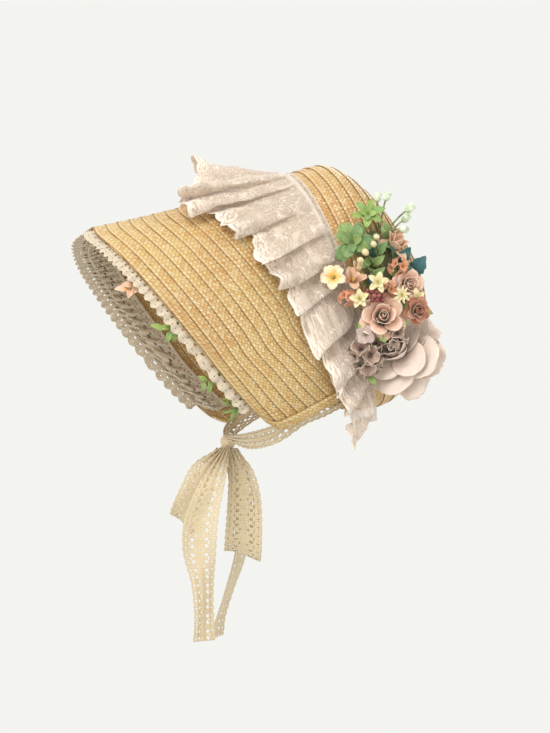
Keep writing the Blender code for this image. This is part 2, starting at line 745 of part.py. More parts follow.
def make_leaves(ground, stems):
    for leaf in LEAVES:
        start = seen(leaf.along, leaf.up, leaf.out)
        tip = seen(leaf.tip_along, leaf.tip_up, leaf.tip_out)
        across = (tip - start).cross(OUT).normalized()
        rows = []
        for share, width in ((0, 0.12), (0.25, 0.8), (0.55, 1.0), (0.8, 0.6), (1, 0.08)):
            centre = start.lerp(tip, share)
            half = across * leaf.width * MM * width / 2
            rows.append([centre - half, centre + OUT * MM, centre + half])
        sheet(leaf.name, rows, PETAL, leaf.colour, offset=0)
        facing = (tip - start).normalized()
        stem_to(ground, stems, leaf.name, leaf.along, leaf.up, leaf.along - 4, leaf.up - 2, leaf.out,
                facing)


def make_buds(ground, stems):
    for bud in BUDS:
        middle = seen(bud.along, bud.up, bud.out)
        half = Vector((bud.half_width, bud.half_width, bud.half_height)) * MM
        add_ball(bud.name, middle, half, bud.colour)
        foot = foot_on(ground, bud.foot_along, bud.foot_up)
        heading = (middle - foot).normalized()
        reach = 1 / Vector(h / size for h, size in zip(heading, half)).length
        end = middle - heading * (0.93 * reach + GAP)
        rod = add_rod(bud.name + "_wire", foot - heading * STEM_INTO_PAD, end, WIRE_RADIUS)
        move_to(rod, stems)


def make_berries(ground, stems):
    core = add_ball("berries", seen(*BERRY_MIDDLE), Vector((4, 5.5, 5.5)) * MM, PLUM, 7, 4)
    balls = helper_collection("berry_balls")
    for index, place in enumerate(BERRIES):
        bpy.ops.mesh.primitive_ico_sphere_add(subdivisions=1, radius=BERRY_RADIUS * MM)
        ball = bpy.context.object
        ball.name = "berry_" + str(index + 1)
        ball.data.transform(Matrix.Translation(seen(*place)))
        hide_helper(ball)
        move_to(ball, balls)
    join_helpers(core, balls)
    foot = foot_on(ground, BERRY_MIDDLE[0], BERRY_MIDDLE[1])
    end = seen(*BERRY_MIDDLE) - OUT * (4 * MM + GAP)
    move_to(add_rod("berries_stem", foot - OUT * STEM_INTO_PAD, end, STEM_RADIUS), stems)


def make_sprigs():
    for sprig in SPRIGS:
        inset = -(FRILL_LIFT + FRILL_WAVE + LACE + PETAL / 2 + GAP)
        edge = brim_length(sprig.side)
        start = edge - sprig.inside * MM
        length = (sprig.inside + sprig.beyond) * MM
        rows = []
        for share, width in ((0, 0.2), (0.3, 0.6), (0.7, 1.0), (0.9, 0.6), (1, 0.15)):
            half = sprig.width * width / 2 * MM / arch_half_length()
            distance = start + length * share
            rows.append([brim_offset(sprig.side + k * half, distance, inset) for k in (-1, 0, 1)])
        sheet(sprig.name, rows, PETAL, sprig.colour, offset=0)


def main():
    make_brim()
    make_crown()
    make_neck_braid("neck_braid_left", 1)
    make_neck_braid("neck_braid_right", -1)
    make_ruffle_band()
    make_lace_ruffle()
    make_brim_frill()
    make_tie("tie_left", 1)
    make_tie("tie_right", -1)
    make_knot()
    make_hanging_ribbon("bow_loop_front", BOW_LOOP_FRONT, 16)
    make_hanging_ribbon("bow_loop_back", BOW_LOOP_BACK, 18)
    make_hanging_ribbon("tie_tail_front", TIE_TAIL_FRONT, 16)
    make_hanging_ribbon("tie_tail_back", TIE_TAIL_BACK, 16)
    make_spray()
    make_sprigs()


main()
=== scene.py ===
"""Looks of the straw bonnet: plaited straw, gathered lace, a spray of cloth flowers and lace ties.

+X is the wearer's left, -Y the front and +Z up, in metres.  Tables are in millimetres.
"""
import math
import random
from collections import namedtuple

import bmesh
import bpy
import numpy as np
from bpy.props import FloatProperty, FloatVectorProperty, IntProperty, PointerProperty
from mathutils import Matrix, Vector
from mathutils.kdtree import KDTree


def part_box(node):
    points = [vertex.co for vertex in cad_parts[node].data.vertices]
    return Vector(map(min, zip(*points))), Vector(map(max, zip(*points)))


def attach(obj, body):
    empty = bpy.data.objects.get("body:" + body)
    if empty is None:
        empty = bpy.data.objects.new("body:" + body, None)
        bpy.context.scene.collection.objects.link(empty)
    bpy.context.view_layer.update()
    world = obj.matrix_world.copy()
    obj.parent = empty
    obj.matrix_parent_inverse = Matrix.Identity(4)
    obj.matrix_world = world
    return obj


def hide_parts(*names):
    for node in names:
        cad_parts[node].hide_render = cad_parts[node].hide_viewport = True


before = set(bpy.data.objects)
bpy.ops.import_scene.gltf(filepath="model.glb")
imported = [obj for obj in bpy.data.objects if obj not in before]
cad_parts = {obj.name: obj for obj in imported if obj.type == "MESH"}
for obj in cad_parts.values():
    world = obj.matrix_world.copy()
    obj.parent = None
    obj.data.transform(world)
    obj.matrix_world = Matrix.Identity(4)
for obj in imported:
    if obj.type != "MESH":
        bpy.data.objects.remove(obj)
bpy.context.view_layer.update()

bl_info = {
    "name": "Straw Bonnet",
    "version": (1, 0, 0),
    "blender": (4, 5, 0),
    "location": "View3D > Sidebar > Bonnet",
    "description": "Builds the straw, lace, flowers and ties of a straw bonnet on its frame",
    "category": "Object",
}

MM = 0.001

# The side view's own directions: towards the back of the hat, up, and out to the viewer.
VIEW_ANGLE = math.radians(18)
ALONG = np.array((math.sin(VIEW_ANGLE), math.cos(VIEW_ANGLE), 0.0))
OUT = np.array((math.cos(VIEW_ANGLE), -math.sin(VIEW_ANGLE), 0.0))
UP = np.array((0.0, 0.0, 1.0))

# Hoops of the straw: top y z, low y z, waist, half width, fullness, low fullness, end angle, bow.
BRIM = np.array((
    (-29, 102, 44, -130, 0.56, 90, 2.1, 3.6, 121, 0),
    (-78, 86, 24, -146, 0.54, 96, 2.2, 3.3, 122, 3),
    (-126, 71, 4, -162, 0.52, 101, 2.35, 3.0, 124, 6),
    (-174, 58, -16, -176, 0.51, 104, 2.45, 2.7, 126, 9),
    (-221, 47, -36, -190, 0.50, 105, 2.5, 2.5, 127, 11),
))
CROWN = np.array((
    (-29, 102, 44, -130, 0.56, 90, 2.1, 3.6, 180, 0),
    (-10, 110, 66, -125, 0.55, 94, 2.1, 3.2, 180, 0),
    (11, 114, 86, -112, 0.54, 95, 2.1, 2.7, 180, 0),
    (31, 104, 100, -92, 0.53, 91, 2.1, 2.4, 180, 0),
    (48, 88, 108, -70, 0.52, 82, 2.05, 2.2, 180, 0),
    (62, 70, 112, -47, 0.50, 68, 2.0, 2.0, 180, 0),
    (75, 52, 113, -25, 0.50, 48, 2.0, 2.0, 180, 0),
    (87, 36, 110, -4, 0.50, 25, 2.0, 2.0, 180, 0),
))
CROWN_TIP = np.array((0, 100, 17)) * MM
CORNER_START = 0.86
CORNER_CUT = 0.06
SEAM_CLEARANCE = 0.9 * MM
STRAW_WALL = 1.8 * MM
# The end of a whole turn for random draws.
ANY_TURN = 6.28
# How softly the brim's bow turns over on its middle line, and how far apart a slope is taken.
BOW_ROUNDING = 0.015
STEP = 0.004
# Splints cross at 45 degrees, so along a row each one takes up more than its own width.
DIAGONAL = 1.414

# Ribbon rows: along, up, out, width, and how the width lies.
BOW_LOOP_FRONT = (
    (-86, -166.8, 30.8, 6, 0.87, -0.40, 0.0),
    (-103, -186, 47, 25, 0.87, -0.42, 0.0),
    (-114, -212, 50, 32, 0.80, -0.60, 0.0),
    (-124, -233, 42, 31, 0.70, -0.70, 0.0),
    (-126, -240, 33, 30, 0.70, -0.70, 0.0),
    (-122, -232, 25, 30, 0.72, -0.68, 0.0),
    (-108, -206, 23, 27, 0.80, -0.60, 0.0),
    (-89.5, -167.6, 25, 7, 0.87, -0.40, 0.0),
)
BOW_LOOP_BACK = (
    (-77.5, -167, 30.9, 6, 0.98, 0.15, 0.0),
    (-68, -190, 36, 24, 0.98, 0.12, 0.0),
    (-65, -220, 36, 34, 0.98, 0.06, 0.0),
    (-66, -258, 31, 38, 0.97, -0.22, 0.0),
    (-67, -272, 22, 38, 0.97, -0.25, 0.0),
    (-66, -262, 13, 37, 0.97, -0.20, 0.0),
    (-66, -225, 9, 33, 0.98, 0.0, 0.0),
    (-71, -188, 13, 20, 0.98, 0.1, 0.0),
    (-74.6, -168, 25, 6, 0.98, 0.15, 0.0),
)
TIE_TAIL_FRONT = (
    (-82, -165.4, 34, 6, 1.0, 0.1, 0.0),
    (-95, -196, 60, 26, 1.0, 0.15, -0.1),
    (-106, -232, 64, 34, 1.0, 0.1, -0.1),
    (-108, -264, 63, 33, 1.0, 0.05, -0.15),
    (-105, -296, 60, 24, 0.9, 0.0, -0.4),
    (-104, -326, 58, 22, 0.85, 0.0, -0.5),
    (-104, -352, 57, 24, 0.85, 0.0, -0.5),
)
TIE_TAIL_BACK = (
    (-81.4, -166.1, 19.4, 6, 0.9, 0.0, -0.4),
    (-74, -200, -6, 24, 0.6, 0.0, -0.8),
    (-69, -240, -14, 32, 0.3, 0.0, -0.95),
    (-72, -280, -14, 34, 0.3, 0.0, -0.95),
    (-82, -312, -10, 34, 0.3, 0.0, -0.95),
    (-92, -340, -6, 34, 0.3, 0.0, -0.95),
    (-94, -358, -4, 34, 0.3, 0.0, -0.95),
)
TIE_INSIDE = ((0.10, 1.6), (0.30, 3.0), (0.52, 4.0), (0.74, 6.0))
TIE_FREE = (
    (77, -62, -141, 72, -60, -160),
    (42, -77, -150, 39, -75, -166),
    (8.3, -86, -154, 8.3, -86, -160),
)
TIE_ABOVE_EDGE = 14 * MM
TIE_BELOW_EDGE = 13 * MM


# The bonnet's own curves.


def smooth_rows(table, place):
    """The table's rows at places from 0 to 1, on a smooth curve through them."""
    table = np.asarray(table, float)
    last = len(table) - 1
    padded = np.vstack((2 * table[0] - table[1], table, 2 * table[-1] - table[-2]))
    at = np.clip(np.asarray(place, float), 0, 1) * last
    index = np.minimum(at.astype(int), last - 1)
    share = (at - index)[..., None]
    before, start, end, after = (padded[index + k] for k in range(4))
    slope = (end - before) / 2
    next_slope = (after - start) / 2
    rise = end - start
    bend = 3 * rise - 2 * slope - next_slope
    turn = slope + next_slope - 2 * rise
    return start + slope * share + bend * share ** 2 + turn * share ** 3


def unit(vectors):
    return vectors / np.maximum(np.linalg.norm(vectors, axis=-1, keepdims=True), 1e-12)


def lengths_along(points):
    """Arc length at each point of a path, or at each row of a grid, column by column."""
    steps = np.linalg.norm(np.diff(points, axis=0), axis=-1)
    return np.concatenate((np.zeros((1,) + steps.shape[1:]), np.cumsum(steps, axis=0)))


def hoop_points(hoops, angle, shift=0.0):
    """Points of the hoops; the angle runs from the top, positive to the wearer's left."""
    columns = np.moveaxis(hoops, -1, 0)[:8]
    top_y, top_z, low_y, low_z, waist, half_width, fullness, low_fullness = columns
    zero = np.zeros_like(top_y)
    top = np.stack((zero, top_y, top_z), -1) * MM
    low = np.stack((zero, low_y, low_z), -1) * MM
    height = np.linalg.norm(top - low, axis=-1)
    up = unit(top - low)
    forward = np.stack((zero, -up[..., 2], up[..., 1]), -1)
    lower = np.cos(angle) < 0
    power = 2 / np.where(lower, low_fullness, fullness)
    reach = height * np.where(lower, 1 - waist, waist)
    across = half_width * MM * np.sign(np.sin(angle)) * np.abs(np.sin(angle)) ** power
    rise = reach * np.sign(np.cos(angle)) * np.abs(np.cos(angle)) ** power
    centre = top - up * (height * waist)[..., None]
    side = np.stack((across, zero, zero), -1)
    return centre + side + up * rise[..., None] + forward * (np.asarray(shift) + zero)[..., None]


def brim_points(depth, side):
    """The brim's outer face: depth 0 at the seam to 1 in front, side -1 to 1 from end to end."""
    depth, side = np.broadcast_arrays(np.asarray(depth, float), np.asarray(side, float))
    hoops = smooth_rows(BRIM, depth)
    corner = np.maximum(0, (depth - CORNER_START) / (1 - CORNER_START))
    angle = np.radians(hoops[..., 8]) * side * (1 - CORNER_CUT * corner ** 2)
    away = np.abs(side) ** 2.5 * (1 + BOW_ROUNDING) / (np.abs(side) ** 1.5 + BOW_ROUNDING)
    flat = 1 - np.abs(2 * away ** 0.8 - 1) ** 4
    return hoop_points(hoops, angle, hoops[..., 9] * MM * flat)


def brim_normals(depth, side):
    inner = np.clip(depth, STEP, 1 - STEP)
    along_side = brim_points(inner, side + STEP) - brim_points(inner, side - STEP)
    along_depth = brim_points(inner + STEP, side) - brim_points(inner - STEP, side)
    return unit(np.cross(along_depth, along_side))


def crown_points(depth, angle):
    """The crown's outer face: depth 0 at the seam, 1 at the smallest hoop, 1 to 2 in to the tip."""
    depth, angle = np.broadcast_arrays(np.asarray(depth, float), np.asarray(angle, float))
    points = hoop_points(smooth_rows(CROWN, depth), angle)
    inward = np.clip(depth - 1, 0, 1)[..., None]
    return points + (CROWN_TIP - points) * inward


def crown_normals(depth, angle):
    step = 0.01
    inner = np.clip(depth, step, 2 - 2 * step)
    round_it = crown_points(inner, angle + step) - crown_points(inner, angle - step)
    along_depth = crown_points(inner + step, angle) - crown_points(inner - step, angle)
    return unit(np.cross(round_it, along_depth))


def arch_half_length():
    points = brim_points(0.5, np.linspace(0, 1, 21))
    return float(np.linalg.norm(np.diff(points, axis=0), axis=1).sum())


ARCH_HALF = arch_half_length()
LENGTH_SIDES = np.linspace(-1, 1, 81)
BRIM_LENGTHS = np.linalg.norm(
    np.diff(brim_points(np.linspace(0, 1, 17)[:, None], LENGTH_SIDES[None, :]), axis=0), axis=-1).sum(0)


def brim_length(side):
    """From the seam to the front edge, along the straw."""
    return np.interp(side, LENGTH_SIDES, BRIM_LENGTHS)


def brim_offset(side, distance, lift):
    """Points a distance forward of the seam, lifted off the straw; past the edge they run on."""
    side, distance, lift = np.broadcast_arrays(*(np.asarray(v, float) for v in (side, distance, lift)))
    length = brim_length(side)
    depth = np.clip(distance / length, 0, 1)
    along_edge = brim_points(1.0, side + STEP) - brim_points(1.0, side - STEP)
    ahead = unit(np.cross(along_edge, brim_normals(1.0, side)))
    beyond = np.maximum(distance - length, 0)[..., None]
    return brim_points(depth, side) + brim_normals(depth, side) * lift[..., None] + ahead * beyond


def seen(along, up, out):
    """A point given in the side view's directions, in millimetres."""
    return (ALONG * along + UP * up + OUT * out) * MM


# Pieces.


def new_piece(name, points, faces, material, replaces=(), uv=None):
    """A mesh of the bonnet: it rides on the body, stands for its solids and has its slot's finish."""
    mesh = bpy.data.meshes.new(name)
    points = np.asarray(points, float).reshape(-1, 3)
    mesh.from_pydata(points.tolist(), [], [tuple(f) for f in faces])
    if uv is not None:
        layer = mesh.uv_layers.new(name="lay")
        corners = np.empty(len(mesh.loops), np.int32)
        mesh.loops.foreach_get("vertex_index", corners)
        layer.data.foreach_set("uv", np.asarray(uv, float).reshape(-1, 2)[corners].ravel())
    mesh.polygons.foreach_set("use_smooth", [True] * len(mesh.polygons))
    mesh.materials.append(material)
    item = bpy.data.objects.new(name, mesh)
    bpy.context.scene.collection.objects.link(item)
    return settle(item, replaces)


def settle(item, replaces=()):
    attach(item, "root")
    if replaces:
        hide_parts(*replaces)
    return item


def apply_modifier(item, kind, **settings):
    """Adds a modifier with its settings and applies it."""
    bpy.ops.object.select_all(action="DESELECT")
    item.select_set(True)
    bpy.context.view_layer.objects.active = item
    modifier = item.modifiers.new(kind.lower(), kind)
    for name, value in settings.items():
        setattr(modifier, name, value)
    bpy.ops.object.modifier_apply(modifier=modifier.name)


def merge_doubles(item, distance=2e-5):
    build = bmesh.new()
    build.from_mesh(item.data)
    bmesh.ops.remove_doubles(build, verts=build.verts[:], dist=distance)
    bmesh.ops.dissolve_degenerate(build, edges=build.edges[:], dist=distance)
    loose = [vert for vert in build.verts if not vert.link_faces]
    bmesh.ops.delete(build, geom=loose, context="VERTS")
    build.to_mesh(item.data)
    build.free()


def grid_faces(rows, columns, start=0, closed=False):
    """Quads of a grid of points given row by row."""
    steps = columns if closed else columns - 1
    i, j = np.meshgrid(np.arange(rows - 1), np.arange(steps), indexing="ij")
    k = (j + 1) % columns
    here, below = start + i * columns, start + (i + 1) * columns
    return np.stack((here + j, below + j, below + k, here + k), -1).reshape(-1, 4)


# Materials.


class Wire:
    """A number that a node gives; arithmetic on it adds Math nodes."""

    def __init__(self, surface, socket):
        self.surface = surface
        self.socket = socket

    def maths(self, operation, *values):
        return self.surface.add("ShaderNodeMath", {"operation": operation}, dict(enumerate(values)))

    def __rsub__(self, other):
        return self.maths("SUBTRACT", other, self)

    def __abs__(self):
        return self.maths("ABSOLUTE", self)

    def floor(self):
        return self.maths("FLOOR", self)

    def sine(self):
        return self.maths("SINE", self)


def two_wires(operation):
    return lambda first, second: first.maths(operation, first, second)


for method, operation in (
        ("__add__", "ADD"), ("__radd__", "ADD"), ("__mul__", "MULTIPLY"), ("__rmul__", "MULTIPLY"),
        ("__sub__", "SUBTRACT"), ("__truediv__", "DIVIDE"), ("__mod__", "FLOORED_MODULO"),
        ("__pow__", "POWER"), ("over", "GREATER_THAN"), ("larger", "MAXIMUM")):
    setattr(Wire, method, two_wires(operation))


class Surface:
    """A material under construction."""

    def __init__(self, name, **sockets):
        self.material = bpy.data.materials.new(name)
        self.material.use_nodes = True
        self.tree = self.material.node_tree
        self.shader = self.tree.nodes["Principled BSDF"]
        for key, value in sockets.items():
            self.shader.inputs[key.replace("_", " ")].default_value = value

    def add(self, kind, settings=None, inputs=None, output=0):
        """Adds a node: its settings first, then the values or wires of its sockets."""
        node = self.tree.nodes.new(kind)
        for key, value in (settings or {}).items():
            if key == "stops":
                self.set_stops(node.color_ramp, value)
            else:
                setattr(node, key, value)
        for key, value in (inputs or {}).items():
            self.feed(node.inputs[key], value)
        return Wire(self, node.outputs[output])

    def set_stops(self, ramp, stops):
        while len(ramp.elements) < len(stops):
            ramp.elements.new(1.0)
        for element, (place, colour) in zip(ramp.elements, stops):
            element.position = place
            element.color = (*colour, 1)

    def feed(self, socket, value):
        if isinstance(value, Wire):
            self.tree.links.new(value.socket, socket)
        else:
            socket.default_value = value

    def drive(self, **wires):
        for key, wire in wires.items():
            self.feed(self.shader.inputs[key.replace("_", " ")], wire)
        return self.material

    def place(self, kind="UV"):
        return self.add("ShaderNodeTexCoord", output=kind)

    def parts(self, vector):
        """The x and y of a vector."""
        node = self.tree.nodes.new("ShaderNodeSeparateXYZ")
        self.feed(node.inputs[0], vector)
        return Wire(self, node.outputs[0]), Wire(self, node.outputs[1])

    def join(self, x, y, z=0.0):
        return self.add("ShaderNodeCombineXYZ", None, {0: x, 1: y, 2: z})

    def noise(self, vector, scale, detail):
        return self.add("ShaderNodeTexNoise", None,
                        {"Vector": vector, "Scale": scale, "Detail": detail})

    def chance(self, x, y):
        """A number from 0 to 1 for each cell."""
        return self.add("ShaderNodeTexWhiteNoise", {"noise_dimensions": "2D"},
                        {"Vector": self.join(x, y)}, "Value")

    def mix(self, share, low, high):
        return self.add("ShaderNodeMix", {"data_type": "RGBA"},
                        {0: share, 6: paint(low), 7: paint(high)}, 2)

    def coat(self, base, *coats):
        """Colours laid over each other: each coat is its share and its colour."""
        for share, colour in coats:
            base = self.mix(share, base, colour)
        return base

    def fit(self, value, low, high, to_low=0.0, to_high=1.0):
        return self.add("ShaderNodeMapRange", {"clamp": True},
                        {0: value, 1: low, 2: high, 3: to_low, 4: to_high})

    def bump(self, height, strength, distance):
        return self.add("ShaderNodeBump", None,
                        {"Height": height, "Strength": strength, "Distance": distance})


def paint(colour):
    """A colour socket's value: a wire as it is, three numbers with full alpha."""
    return colour if isinstance(colour, Wire) else (*tuple(colour)[:3], 1)


def shade(colour, share):
    return tuple(channel * share for channel in colour)


def straw_surface(name, settings, row_width, splint):
    """Plaited straw on a UV map in metres: u along the braid, v across the rows."""
    gold, pale, russet, shadow = settings.gold, settings.pale, settings.russet, settings.shadow
    surface = Surface(name, Roughness=0.46, Specular_IOR_Level=0.42)
    u, v = surface.parts(surface.place())
    v = v + (surface.noise(surface.join(u, v), 30.0, 2.0) - 0.5) * 0.0016
    row = (v / row_width).floor()
    across = v - row * row_width
    slant = (u + across) / (splint * DIAGONAL)
    lean = (u - across) / (splint * DIAGONAL)
    over = ((slant.floor() + lean.floor()) % 2.0).over(0.5)
    place_a = slant - slant.floor()
    place_b = lean - lean.floor()
    upper = abs(place_a - 0.5) * 2.0
    under = abs(place_b - 0.5) * 2.0
    ridge = upper * over + under * (1.0 - over)
    dome = 1.0 - ridge ** 3.0
    tone = surface.chance(slant.floor() + row * 17.0, lean.floor())
    strip = surface.chance(slant.floor() * over + lean.floor() * (1.0 - over) + row * 31.0, over)
    wide = surface.noise(surface.join(u, v), 9.0, 3.0)
    along_grain = surface.join((u + across) * over + (u - across) * (1.0 - over),
                               ((u - across) * over + (u + across) * (1.0 - over)) * 14.0)
    grain = surface.noise(along_grain, 160.0, 2.0)
    # Pale cells at random: partly the straw's own paler splints, partly painted glints of light.
    light = surface.fit(tone * 0.5 + strip * 0.5, 0.68, 0.98)
    deep = surface.fit(tone * 0.4 + strip * 0.6, 0.42, 0.08)
    # Painted shade in the gaps between the domed splints.
    painted_gap_shade = surface.fit(dome, 0.62, 0.05)
    edge = across / row_width
    # Painted shade along the step where one row of straw lies over the next.
    painted_row_shade = surface.fit(edge, 0.09, 0.0).larger(surface.fit(edge, 0.97, 1.0) * 0.5)
    # Painted highlight: a pale line along each row's raised edge.
    painted_row_highlight = surface.fit(abs(edge - 0.17), 0.07, 0.02)
    base = surface.coat(
        gold,
        (surface.fit(wide, 0.42, 0.66), russet),
        # Painted light and own tone: splints of one way of the plait paler, as light falls differently on
        # the two ways, and cells paler at random.
        (over * 0.26 + tone * 0.34, pale),
        (light * 0.62, pale),
        (deep * 0.6, russet),
        (surface.fit(grain, 0.35, 0.7) * 0.2, pale),
        (painted_gap_shade * 0.62, shadow),
        (painted_row_highlight * 0.5, pale),
        (painted_row_shade * 0.85, shadow),
    )
    rough = surface.fit(grain, 0.3, 0.75, 0.36, 0.58)
    height = dome * 0.8 + grain * 0.2
    return surface.drive(Base_Color=base, Roughness=rough,
                         Normal=surface.bump(height, 0.8, 0.0009))


def lace_surface(name, thread, deep, thread_size=0.0006, sheer=None):
    """Threads of lace; sheer gives net between the motifs its see-through share."""
    surface = Surface(name, Roughness=0.8, Sheen_Weight=0.4, Sheen_Roughness=0.5,
                      Specular_IOR_Level=0.2)
    u, v = surface.parts(surface.place())
    twist = surface.noise(surface.join(u, v), 0.35 / thread_size, 2.0)
    slubs = surface.noise(surface.join(u, v), 60.0, 2.0)
    cords = (((u + v) / thread_size).sine() * ((u - v) / thread_size).sine()) * 0.5 + 0.5
    # Painted shade: the deep colour where the cords dip between each other; a shaded copy of the thread
    # for the ties and frill, the net's own colour for the ruffle.
    shade = surface.fit(cords * 0.6 + twist * 0.5, 0.25, 0.8)
    base = surface.mix(shade, deep, thread)
    base = surface.mix(surface.fit(slubs, 0.55, 0.8) * 0.35, base, deep)
    normal = surface.bump(cords * 0.6 + twist * 0.4, 0.6, 0.0004)
    if sheer is None:
        return surface.drive(Base_Color=base, Normal=normal)
    motif = sheer_motif(surface, u, v, sheer)
    base = surface.mix(motif, base, thread)
    alpha = surface.fit(motif, 0.0, 1.0, sheer["net_alpha"], 1.0)
    height = motif + cords * 0.2
    return surface.drive(Base_Color=base, Alpha=alpha, Normal=surface.bump(height, 0.8, 0.0006))


# The ruffle's embroidered scallops, and a thread of its net.
SCALLOP_LENGTH = 0.011
NET_THREAD = 0.0007


def sheer_motif(surface, u, v, sheer):
    """Embroidery on fine net: v runs 0 at the root to 1 at the free edge, u in metres along it."""
    reach = sheer["width"]
    flat = surface.join(u, v * reach)
    broad = surface.noise(flat, 95.0, 1.0)
    fine = surface.noise(flat, 300.0, 2.0)
    vine = surface.fit(abs(broad - 0.5), 0.026, 0.008) * 0.8
    trail = surface.fit(abs(fine - 0.52), 0.05, 0.02) * 0.45
    blossom = surface.fit(surface.noise(flat, 60.0, 0.0), 0.60, 0.66) * 0.45
    scallop = abs((u / SCALLOP_LENGTH * math.pi).sine()) * 0.035 + 0.945
    cord = surface.fit(abs(v - scallop) * reach, 0.0028, 0.0012)
    border = surface.fit(v, 0.78, 0.86) * surface.fit(fine, 0.42, 0.5, 0.1, 0.8)
    root = surface.fit(v, 0.06, 0.0)
    net = abs(((u + v * reach) / NET_THREAD).sine()).larger(abs(((u - v * reach) / NET_THREAD).sine()))
    mesh = surface.fit(net, 0.8, 1.0) * 0.3
    return vine.larger(trail).larger(blossom).larger(cord).larger(border).larger(root).larger(mesh)


# Settings.


def colour_setting(name, description, value):
    return FloatVectorProperty(name=name, description=description, subtype="COLOR", size=3,
                               min=0.0, max=1.0, default=value)


def length_setting(name, description, value):
    return FloatProperty(name=name, description=description, unit="LENGTH", default=value)


class StrawSettings(bpy.types.PropertyGroup):
    row_width: length_setting("Row width", "Width of one row of plaited straw", 0.0125)
    splint_width: length_setting("Splint width", "Width of one split straw in the plait", 0.0032)
    row_step: length_setting("Row step", "How far each row stands over the next", 0.0010)
    relief: length_setting("Relief", "Height of the plait on a row", 0.00042)
    gold: colour_setting("Straw gold", "Main colour of the straw", (0.605, 0.376, 0.106))
    # Pale straw is also laid on as the painted highlights and glints.
    pale: colour_setting("Pale straw", "Colour of the lightest splints", (0.77, 0.64, 0.37))
    russet: colour_setting("Russet straw", "Colour of the deeper patches", (0.52, 0.235, 0.05))
    # The row shadow is painted shade: the colour laid between rows and between splints.
    shadow: colour_setting("Row shadow", "Colour between rows and splints", (0.17, 0.07, 0.015))


class LaceSettings(bpy.types.PropertyGroup):
    folds: IntProperty(name="Ruffle folds", description="Folds from end to end", default=19)
    pleats: IntProperty(name="Frill pleats", description="Pleats of the frill in the brim", default=54)
    organza: colour_setting("Ruffle thread", "Colour of the ruffle's embroidery", (0.92, 0.80, 0.67))
    organza_net: colour_setting("Ruffle net", "Colour of the ruffle's sheer net", (0.80, 0.62, 0.49))
    cotton: colour_setting("Frill thread", "Colour of the crochet frill", (0.67, 0.567, 0.419))
    ecru: colour_setting("Tie thread", "Colour of the ties' bobbin lace", (0.701, 0.576, 0.374))


class FlowerSettings(bpy.types.PropertyGroup):
    seed: IntProperty(name="Petal seed", description="Start of the petals' random crinkle", default=7)
    mauve: colour_setting("Peony petal", "Colour of the outer peony petals", (0.719, 0.592, 0.505))
    deep_mauve: colour_setting("Peony heart", "Colour of the inner peony petals", (0.46, 0.30, 0.25))
    grey_mauve: colour_setting("Grey petal", "Colour of the grey mauve petals", (0.48, 0.36, 0.32))
    beige_pink: colour_setting("Rose petal", "Colour of the beige roses", (0.76, 0.48, 0.345))
    rust: colour_setting("Rust petal", "Colour of the rust rose", (0.42, 0.13, 0.055))
    mauve_brown: colour_setting("Hydrangea", "Colour of the hydrangea florets", (0.35, 0.22, 0.165))
    cream: colour_setting("Star blossom", "Colour of the star blossoms", (0.84, 0.74, 0.42))
    coral: colour_setting("Coral blossom", "Colour of the coral blossoms", (0.68, 0.24, 0.09))
    peach: colour_setting("Peach petal", "Colour of the peach petals", (0.74, 0.46, 0.30))
    plumeria_cream: colour_setting("Plumeria", "Colour of the plumeria petals", (0.86, 0.68, 0.44))
    plum: colour_setting("Berry", "Colour of the berries", (0.20, 0.045, 0.04))
    light_leaf: colour_setting("Light leaf", "Colour of the light leaves", (0.31, 0.42, 0.10))
    green_leaf: colour_setting("Green leaf", "Colour of the darker leaves", (0.22, 0.31, 0.09))
    teal_leaf: colour_setting("Teal leaf", "Colour of the blue-green leaves", (0.06, 0.16, 0.125))
    pale_bud: colour_setting("Cup bud", "Colour of the pale cup buds", (0.74, 0.79, 0.64))
    cream_bud: colour_setting("Cream bud", "Colour of the cream buds", (0.78, 0.66, 0.40))
    stem: colour_setting("Stem", "Colour of the wire stems", (0.11, 0.17, 0.06))


class StageSettings(bpy.types.PropertyGroup):
    lens: FloatProperty(name="Lens", description="Focal length of the camera", default=85.0,
                        subtype="DISTANCE_CAMERA")
    camera_distance: length_setting("Camera distance", "From the hat's middle to the camera", 1.731)
    backdrop: colour_setting("Backdrop", "Colour of the plain backdrop", (0.90, 0.905, 0.87))
    floor_height: length_setting("Floor height", "Height of the floor under the hat as worn", -1.5)
    glow: FloatProperty(name="Glow", description="Strength of the light from all round", default=0.82)
    light_power: FloatProperty(name="Light power", description="Power of the main soft light",
                               unit="POWER", default=23.0)


# Straw.

# Where the points across one row lie, close together at the step to the next row.
ROW_PLACES = np.array((0.004, 0.07, 0.18, 0.31, 0.44, 0.57, 0.70, 0.82, 0.93, 0.996))
BRIM_COLUMNS = 345
CROWN_COLUMNS = 260
# The straw's inner faces have one row of points for every so many outside.
BRIM_EVERY = 2
CROWN_EVERY = 4
INNER_PLAIT = 0.8
TIP_FADE = 20 * MM
BRAID_WIDTH = 14 * MM


def row_samples(length, row_width):
    """Distances across all rows of a length, close together at each step."""
    count = int(math.ceil(length / row_width))
    places = (np.arange(count)[:, None] + ROW_PLACES[None, :]).ravel() * row_width
    return np.concatenate(((0.0,), places[places < length], (length,)))


def plait_weave(splint, run, across):
    """Crossing splints: 1 on a splint's middle, -1 in a gap."""
    cell = math.pi / (splint * DIAGONAL)
    return np.cos(cell * (run + across)) * np.cos(cell * (run - across))


def plait_height(settings, run, across):
    """Height of a plaited row: it rises towards its free edge and has domed splints."""
    share = (across / settings.row_width) % 1.0
    rise = settings.row_step * (1 - share) ** 0.8
    weave = plait_weave(settings.splint_width, run, across)
    shoulder = np.clip(np.minimum(share, 1 - share) / 0.12, 0, 1)
    return rise + settings.relief * (0.5 + 0.5 * weave) * shoulder


def run_along(points):
    """Arc length along each row of points, from the middle column."""
    run = lengths_along(points.swapaxes(0, 1)).T
    return run - run[:, run.shape[1] // 2][:, None]


